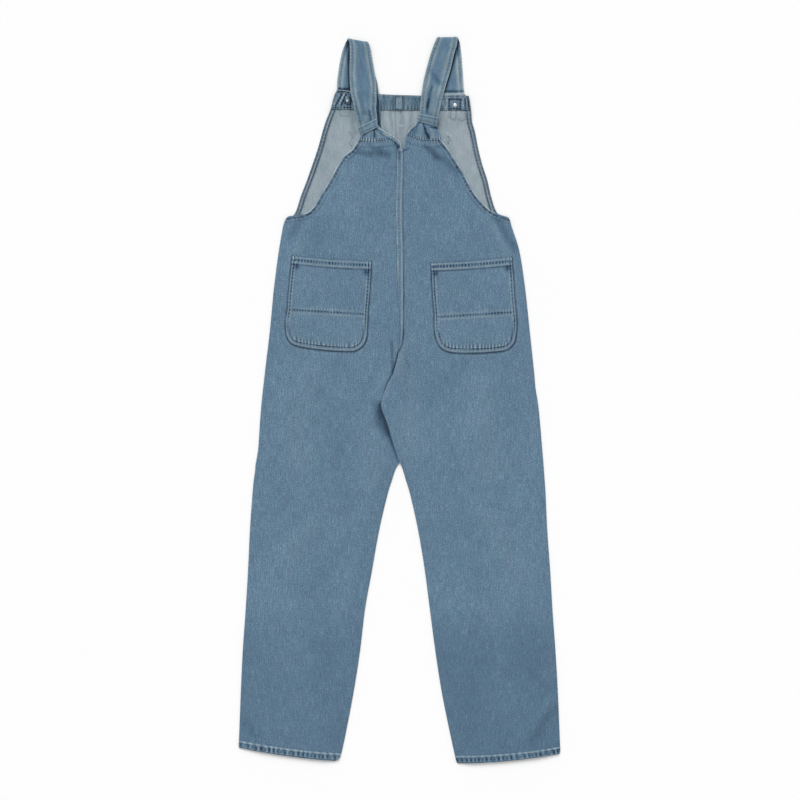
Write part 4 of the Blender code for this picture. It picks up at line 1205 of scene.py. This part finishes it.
def strapTones(side, middle, fold, flank):
    widths = np.cumsum(np.linalg.norm(np.diff(middle, axis=1), axis=2), axis=1)
    across = np.concatenate([np.zeros((len(middle), 1)), widths], 1)
    length = np.concatenate([[0], np.cumsum(np.linalg.norm(np.diff(middle[:, 15], axis=0), axis=1))])
    along = np.repeat(length[:, None], across.shape[1], 1)
    last = strapParts["across"]
    d = np.minimum(across, np.maximum(across[:, last:last + 1] - across, 0))
    onFlank = (np.arange(across.shape[1])[None, :] > last) & (flank[:, None] > 0.5)
    outside = np.maximum(across[:, -1:] - across, 0)
    seed = 90 if side == "left" else 95
    blotch = softNoise(along, across, 16, seed)
    strip = 1 - ease((d - strapParts["strip"]) / 1.4 + 0.5)
    relief = strapParts["stripLift"] * strip - 0.5 * (1 - ease(d / 1.2))
    wave = np.sin(2 * pi * (along / 7.0 + 0.5 * drift(along, 17, seed + 1)))
    lower = 1 - ease((np.arange(len(middle))[:, None] - fold + 5) / 4)
    wearAndShade = 0.6 * bump(d - 0.7, 1.2)
    wearAndShade = wearAndShade + (0.5 + 0.22 * lower) * (0.85 + 0.3 * blotch) * bump(d - strapParts["stripe"], 3.5)
    wearAndShade = wearAndShade + 0.07 * softNoise(along * 0.4, across, 6, seed + 2)
    wearAndShade = wearAndShade + 0.1 * strip * softNoise(along, across, 5, seed + 3)
    wearAndShade = wearAndShade + 0.29 * strip - 0.4 * bump(d - strapParts["strip"] + 1.4, 1.5)
    for number, place in enumerate(strapParts["stitches"]):
        relief = relief - 0.3 * bump(d - place, 0.9) + 0.25 * wave * bump(d - place, 2.4)
        dash = dashes(along, 6.6, seed + 5 + number)
        wearAndShade = wearAndShade + (0.08 * wave - 0.08 - 0.36 * dash) * bump(d - place - 0.3, 1.3)
    heights, shade = creaseField(middle[..., 0], middle[..., 1], strapCreases[side])
    upper = ease((np.arange(len(middle))[:, None] - fold - 6) / 10)
    # the creases' painted shade and light on the upper run; the turned-down flank is painted shade with a
    # pale worn line at its edge
    wearAndShade = np.where(onFlank, -1.0 + 1.3 * bump(outside - 0.8, 1.4), wearAndShade + shade * upper)
    # shade on the lower run where the upper one covers it, darkest near the fold
    hidden = toLine(middle[..., 0], middle[..., 1], upperEdge[side])[0]
    reach = 3.8 + 6.0 * ease((middle[..., 1] - 690) / 60)
    wearAndShade = wearAndShade - lower * 1.5 * bump(hidden, reach) + 0.12 * lower * strip
    # painted shade in the dark opening of the loop at the fold's corner
    opening = np.hypot(middle[..., 0] - loopOpeningShade[side][0], middle[..., 1] - loopOpeningShade[side][1])
    wearAndShade = wearAndShade - 0.9 * lower * bump(opening, 5.0)
    for height, tone, width in strapEnds[side]:
        wearAndShade = wearAndShade + tone * lower * bump(middle[..., 1] - height, width)
    return across, along, relief, heights * upper, wearAndShade


upperEdge = {
    "left": ((-106, 752), (-105, 723), (-106, 689), (-105, 661), (-103, 644), (-99, 625)),
    "right": ((119, 752), (114, 729), (105, 691), (97, 664), (90, 642), (85, 628)),
}
loopOpeningShade = {"left": (-109, 754), "right": (121.5, 755)}
# by height, tone and width near the lower runs' ends: painted shadow at the bib's top edge, and on the right
# a pale worn fold of the strap end
strapEnds = {"left": ((652.5, -1.2, 3.0),), "right": ((647.5, -0.9, 2.6), (642.0, 0.8, 2.4))}


def closedBand(node, middle, wall, relief, lift, wearAndShade, uv):
    # a strip of strap cloth with its two faces on either side of its middle
    along = -np.gradient(middle, axis=0)
    across = np.gradient(middle, axis=1)
    normal = np.cross(across, along)
    normal /= np.maximum(np.linalg.norm(normal, axis=2, keepdims=True), 1e-9)
    up = np.zeros_like(middle)
    up[..., 2] = lift
    top = middle + normal * (wall / 2 + relief)[..., None] + up
    bottom = middle - normal * (wall / 2 + relief)[..., None] + up
    top[..., 2] = np.maximum(top[..., 2], 0.05)
    bottom[..., 2] = np.maximum(bottom[..., 2], 0.02)
    return addCloth(node, top, bottom, uv, wearAndShade, denimStrap), top


def smoothRun(run):
    padded = np.concatenate([run[:1], run, run[-1:]])
    return (padded[:-2] + padded[1:-1] + padded[2:]) / 3


def addStrap(side):
    middle, fold, flank = strapLine(side)
    across, along, relief, heights, wearAndShade = strapTones(side, middle, fold, flank)
    uv = np.stack([across + (300 if side == "right" else 0), along], -1)
    piece, top = closedBand("strap_" + side, middle, cloth["strapWall"], relief, heights, wearAndShade, uv)
    last = strapParts["across"]
    runs = []
    for place in strapParts["stitches"]:
        for edge in (0, last):
            run = []
            for row in range(fold + 3, len(top)):
                gap = np.abs(across[row, : last + 1] - across[row, edge])
                run.append(top[row, int(np.argmin(np.abs(gap - place)))] + (0, 0, 0.1))
            runs.append(smoothRun(np.array(run)))
    stitches = stitchMesh("strap_" + side + "_stitches", runs, material=fadedThread)
    return middle


strapMiddles = {side: addStrap(side) for side in bothSides}


# Strap bases, gathered between keeper and seam
baseParts = {
    "rows": 34, "columns": 84, "gather": 5.4, "gatherHeight": 0.7, "gatherTone": 1.1, "neckHem": 7.5,
    "flat": {"left": (0.098, 0.040), "right": (0.098, 0.050)}, "area": {"left": 0.0026, "right": 0.0036},
}
baseTables = {
    "left": (
        (-84.1, 563.4, -47.8, 580.6, 0), (-82, 557, -43, 571, 0), (-83, 552, -25, 560, 2),
        (-87.8, 545.4, -9.2, 549.4, 4),
    ),
    "right": (
        (38.6, 591.8, 78.9, 582.3, 0), (35, 582, 79, 571, 0), (21, 569, 84, 560, 3),
        (13.2, 557.4, 85.8, 546.4, 7),
    ),
}
# Creases and folds of the strap bases: ends, width, height, and painted shade in folds with painted light on
# ridges
baseCreases = {
    "left": (
        (-54.2, 571, -53.6, 552, 2.0, -1.8, -1.1), (-50.5, 570, -38.5, 561, 2.0, -1.4, -0.9),
        (-62, 562, -66, 550, 5, 0.8, 0.12), (-47, 560, -43, 551, 3.4, 1.2, 0.3),
        (-74, 562, -77, 551, 3.4, -0.8, -0.35), (-34, 560, -30, 552, 4, 0.6, 0.14),
        (-78, 566, -80, 556, 3, 0.6, 0.25),
    ),
    "right": (
        (49.5, 578, 53, 566, 1.9, -2.2, -1.2), (53, 566, 59, 551, 3.4, -2.4, -1.35),
        (66, 572, 77, 570.5, 2.2, -1.0, -1.1), (43, 574, 42, 556, 5, 0.9, 0.14),
        (64, 566, 70, 553, 4, 1.1, 0.32), (28, 566, 30, 557, 3.0, -0.6, -0.25),
        (80, 572, 86, 549, 3, 0.3, 0.12), (36, 578, 34, 566, 3, -0.5, -0.3),
    ),
}


def baseShape(side):
    rows = denseRows(baseTables[side], 2.0)
    places = np.linspace(0, len(rows) - 1, baseParts["rows"])
    rows = np.stack([np.interp(places, np.arange(len(rows)), rows[:, k]) for k in range(5)], 1)
    shares = np.linspace(0, 1, baseParts["columns"] + 1)[None, :].repeat(len(rows), 0)
    x, y = rowGrid(rows, shares)
    down = np.linspace(0, 1, len(rows))[:, None]
    end = strapMiddles[side][-1, : strapParts["across"] + 1, 2]
    start = np.interp(shares[0], np.linspace(0, 1, len(end)), end)[None, :]
    back, _ = backSurface(side, x, y)
    z = mixed(start - 0.5, back - cloth["backWall"] / 2, ease(down * 1.6))
    z = np.maximum(z, strapRest(x, y))
    height, shade = creaseField(x, y, baseCreases[side])
    z = z + height * ease(down * 4) + 0.9 * np.sin(pi * shares) * np.sin(pi * down)
    above = np.abs(y[-1:] - y)  # how far above the puckered seam
    nearSeam = bump(above - 1.6, 2.8)
    phase = x / baseParts["gather"] + 0.35 * drift(x, 15, 101)
    gather = np.sin(2 * pi * phase) * (0.65 + 0.6 * softNoise(x, y, 9, 102))
    z = z + baseParts["gatherHeight"] * gather * (nearSeam + 0.3 * bump(above - 6, 4))
    # the gathers are paler on their puffs and darker between: wear with painted light and shade
    wearAndShade = shade * ease(down * 5) + gather * (baseParts["gatherTone"] * nearSeam + 0.1 * bump(above - 7, 4))
    wearAndShade = wearAndShade + 0.26 * bump(above - 6.4, 1.4) * (0.6 + 0.5 * softNoise(x, y, 9, 103))
    wearAndShade = wearAndShade - 0.2 * bump(above - 4.2, 1.0)
    neckSide = [(r[2], r[3]) for r in rows] if side == "left" else [(r[0], r[1]) for r in rows]
    wide = baseParts["neckHem"] if side == "left" else 3.6
    neck = (Line(0.8, 0.36, 1.2), Line(wide / 2 + 0.4, -0.15, 1.2, 5.2, -0.3, 0.2))
    hem = seamOf(neckSide, width=wide, lift=0.7, lines=neck, tone=0.42, step=-0.85, seed=104)
    z, wearAndShade = sewn(hem, x, y, z, wearAndShade)
    return np.stack([x, y, z], -1), wearAndShade


def addBase(side):
    middle, wearAndShade = baseShape(side)
    plain = np.zeros(wearAndShade.shape)
    wall = cloth["backWall"]
    piece, _ = closedBand("strap_base_" + side, middle, wall, plain, plain, wearAndShade, middle[..., :2])


for side in bothSides:
    addBase(side)


# Keepers, sewn across the strap ends
keeperParts = {"columns": 30, "rows": 16, "bow": 0.6, "wall": 1.2, "lift": 2.2, "flat": (0.048, 0.020)}
keeperCorners = {
    "left": ((-87.8, 571.4), (-50.4, 589.7), (-44.9, 572.7), (-80.4, 555.9)),
    "right": ((41.0, 600.4), (80.6, 591.8), (77.3, 573.7), (36.5, 584.4)),
}


def addKeeper(side):
    topLeft, topRight, bottomRight, bottomLeft = (np.array(p) for p in keeperCorners[side])
    s = np.linspace(0, 1, keeperParts["columns"] + 1)[None, :, None]
    t = np.linspace(0, 1, keeperParts["rows"] + 1)[:, None, None]
    place = mixed(mixed(topLeft, topRight, s), mixed(bottomLeft, bottomRight, s), t)
    x, y = place[..., 0], place[..., 1]
    s, t = s[..., 0].repeat(x.shape[0], 0), t[..., 0].repeat(x.shape[1], 1)
    strapEnd = strapMiddles[side][-14:, : strapParts["across"] + 1]
    near = np.concatenate([strapEnd.reshape(-1, 3), baseShape(side)[0][:9].reshape(-1, 3)])
    distance = np.hypot(x[..., None] - near[:, 0], y[..., None] - near[:, 1])
    z = np.max(np.where(distance < 6.5, near[:, 2], -9), axis=-1)
    z = np.where(z < 0, np.median(z[z > 0]), z)
    for _ in range(6):
        z = np.pad(z, 1, mode="edge")
        z = (z[:-2, 1:-1] + z[2:, 1:-1] + z[1:-1, :-2] + z[1:-1, 2:] + 2 * z[1:-1, 1:-1]) / 6
    z = z + keeperParts["lift"] + keeperParts["bow"] * np.sin(pi * t)
    height = np.linalg.norm(topLeft - bottomLeft)
    width = np.linalg.norm(topLeft - topRight)
    d = np.minimum(t, 1 - t) * height
    e = np.minimum(s, 1 - s) * width
    relief = -0.25 * bump(d - 2.4, 0.8) - 0.35 * (1 - ease(np.minimum(d, e) / 1.1))
    dash = dashes(s * width, 4.6, 111)
    wearAndShade = 0.28 + 0.34 * bump(d - 0.7, 1.2) - (0.22 + 0.4 * dash) * bump(d - 3.6, 1.6)
    wearAndShade = wearAndShade - 0.15 * dash * ease(d / 4)
    wearAndShade = wearAndShade + 0.4 * bump(e - 2.4, 2.0) * dashes(t * height, 5.0, 112) - 0.4 * bump(e - 5.8, 1.4)
    uv = np.stack([s * width + (90 if side == "left" else 190), t * height], -1)
    middle = np.stack([x, y, z], -1)
    piece, _ = closedBand("keeper_" + side, middle, keeperParts["wall"], relief, 0 * x, wearAndShade, uv)
    "strap_" + side + "_denim"


for side in bothSides:
    addKeeper(side)
print("straps, bases and keepers made")


# Buttons keep their turned shapes and get a worn metal finish with painted shade at the rim; the left one is
# a darker, shaded copy
def metalFinish(name, button, look):
    finish = Finish(name)
    place = finish.add("ShaderNodeTexCoord", {}, {}, 3)
    flat = finish.stretched(place, (1.0, 1.0, 0.0))
    centre = (button.x * mm, button.y * mm, 0.0)
    out = finish.add("ShaderNodeVectorMath", {"operation": "DISTANCE"}, {0: flat, 1: centre}, 1)
    # painted shade towards the rim, from the crown outward
    rim = ((out - look["crown"]) * 900.0).limited()
    cloud = finish.noise(place, (700.0, 700.0, 700.0), 3.0)
    scratch = finish.noise(place, (2600.0, 300.0, 900.0), 2.0)
    bright, shadedAndWorn, edge = (linear(*colour) for colour in look["colours"])
    tone = finish.blend(bright, shadedAndWorn, ((cloud - 0.45) * 1.6).limited(0.0, 0.5))
    finish.set(Base_Color=finish.blend(tone, edge, rim), Metallic=1.0, Roughness=(scratch * 0.16 + 0.26))
    relief = finish.add("ShaderNodeBump", {}, {"Strength": 0.15, "Distance": 0.0001, "Height": scratch})
    finish.set(Normal=relief)
    return finish.material


# the left button's colours are the right's with painted shade, as if the strap shaded it
buttonLooksLitAndShaded = {
    "left": {"colours": ((206, 212, 216), (140, 148, 154), (96, 110, 122)), "crown": 0.0017},
    "right": {"colours": ((236, 238, 240), (170, 174, 178), (150, 160, 168)), "crown": 0.0029},
}
for side, look in buttonLooksLitAndShaded.items():
    metal = metalFinish("button_metal_shaded_" + side, buttons[side], look)
    for part in ("cap", "head"):
        node = bpy.data.objects["button_" + part + "_" + side]
        node.material_slots[0].material = metal


# Stitching on the back panels: down the armhole, along both ends, and then along the other seams
for side, sign in (("left", 1), ("right", -1)):
    surface = sewnBack(side)
    turns = [sign, -1, 1] + [-sign] * (len(backSeams[side]) - 3)
    runs = [
        onSurface(besideLine(seam["line"], turn * place), surface)
        for seam, turn in zip(backSeams[side], turns) for place in seam["stitches"]
    ]
    stitches = stitchMesh("back_" + side + "_stitches", runs)
print("stitching done")


# Floor, light and camera
studio = {
    "world": 0.62, "key": 2.1, "keySoftness": 0.7, "keyFrom": (-0.5, 2.2, 2.0), "floorHalf": 24.0,
    "floorTone": (0.93, 0.93, 0.93, 1.0), "lens": 85.0, "pixel": 2.1, "pixels": 800,
}


def addFloor():
    finish = Finish("pale_floor")
    finish.set(Base_Color=studio["floorTone"], Roughness=0.95, Specular_IOR_Level=0.1)
    mesh = bpy.data.meshes.new("floor")
    half = studio["floorHalf"]
    corners = [(x * half, y * half, -0.0003) for x, y in ((-1, -1), (1, -1), (1, 1), (-1, 1))]
    mesh.from_pydata(corners, [], [(0, 1, 2, 3)])
    mesh.materials.append(finish.material)
    placed("floor", mesh)


def addLight():
    world = bpy.data.worlds.new("soft_white")
    world.use_nodes = True
    background = world.node_tree.nodes["Background"]
    background.inputs["Color"].default_value = (1.0, 1.0, 1.0, 1.0)
    background.inputs["Strength"].default_value = studio["world"]
    bpy.context.scene.world = world
    sun = bpy.data.lights.new("key", "SUN")
    sun.angle = studio["keySoftness"]
    sun.energy = studio["key"]
    lamp = placed("key", sun)
    lamp.location = studio["keyFrom"]
    lamp.rotation_euler = (-Vector(studio["keyFrom"])).to_track_quat("-Z", "Y").to_euler()
    bpy.context.scene.view_settings.view_transform = "Standard"


def addCamera():
    data = bpy.data.cameras.new("above")
    data.lens = studio["lens"]
    wide = studio["pixels"] * studio["pixel"] * mm
    camera = placed("above", data)
    camera.location = (0.0, 0.0, wide * data.lens / data.sensor_width)
    bpy.context.scene.camera = camera


addFloor()
addLight()
addCamera()
print("floor, light and camera set")
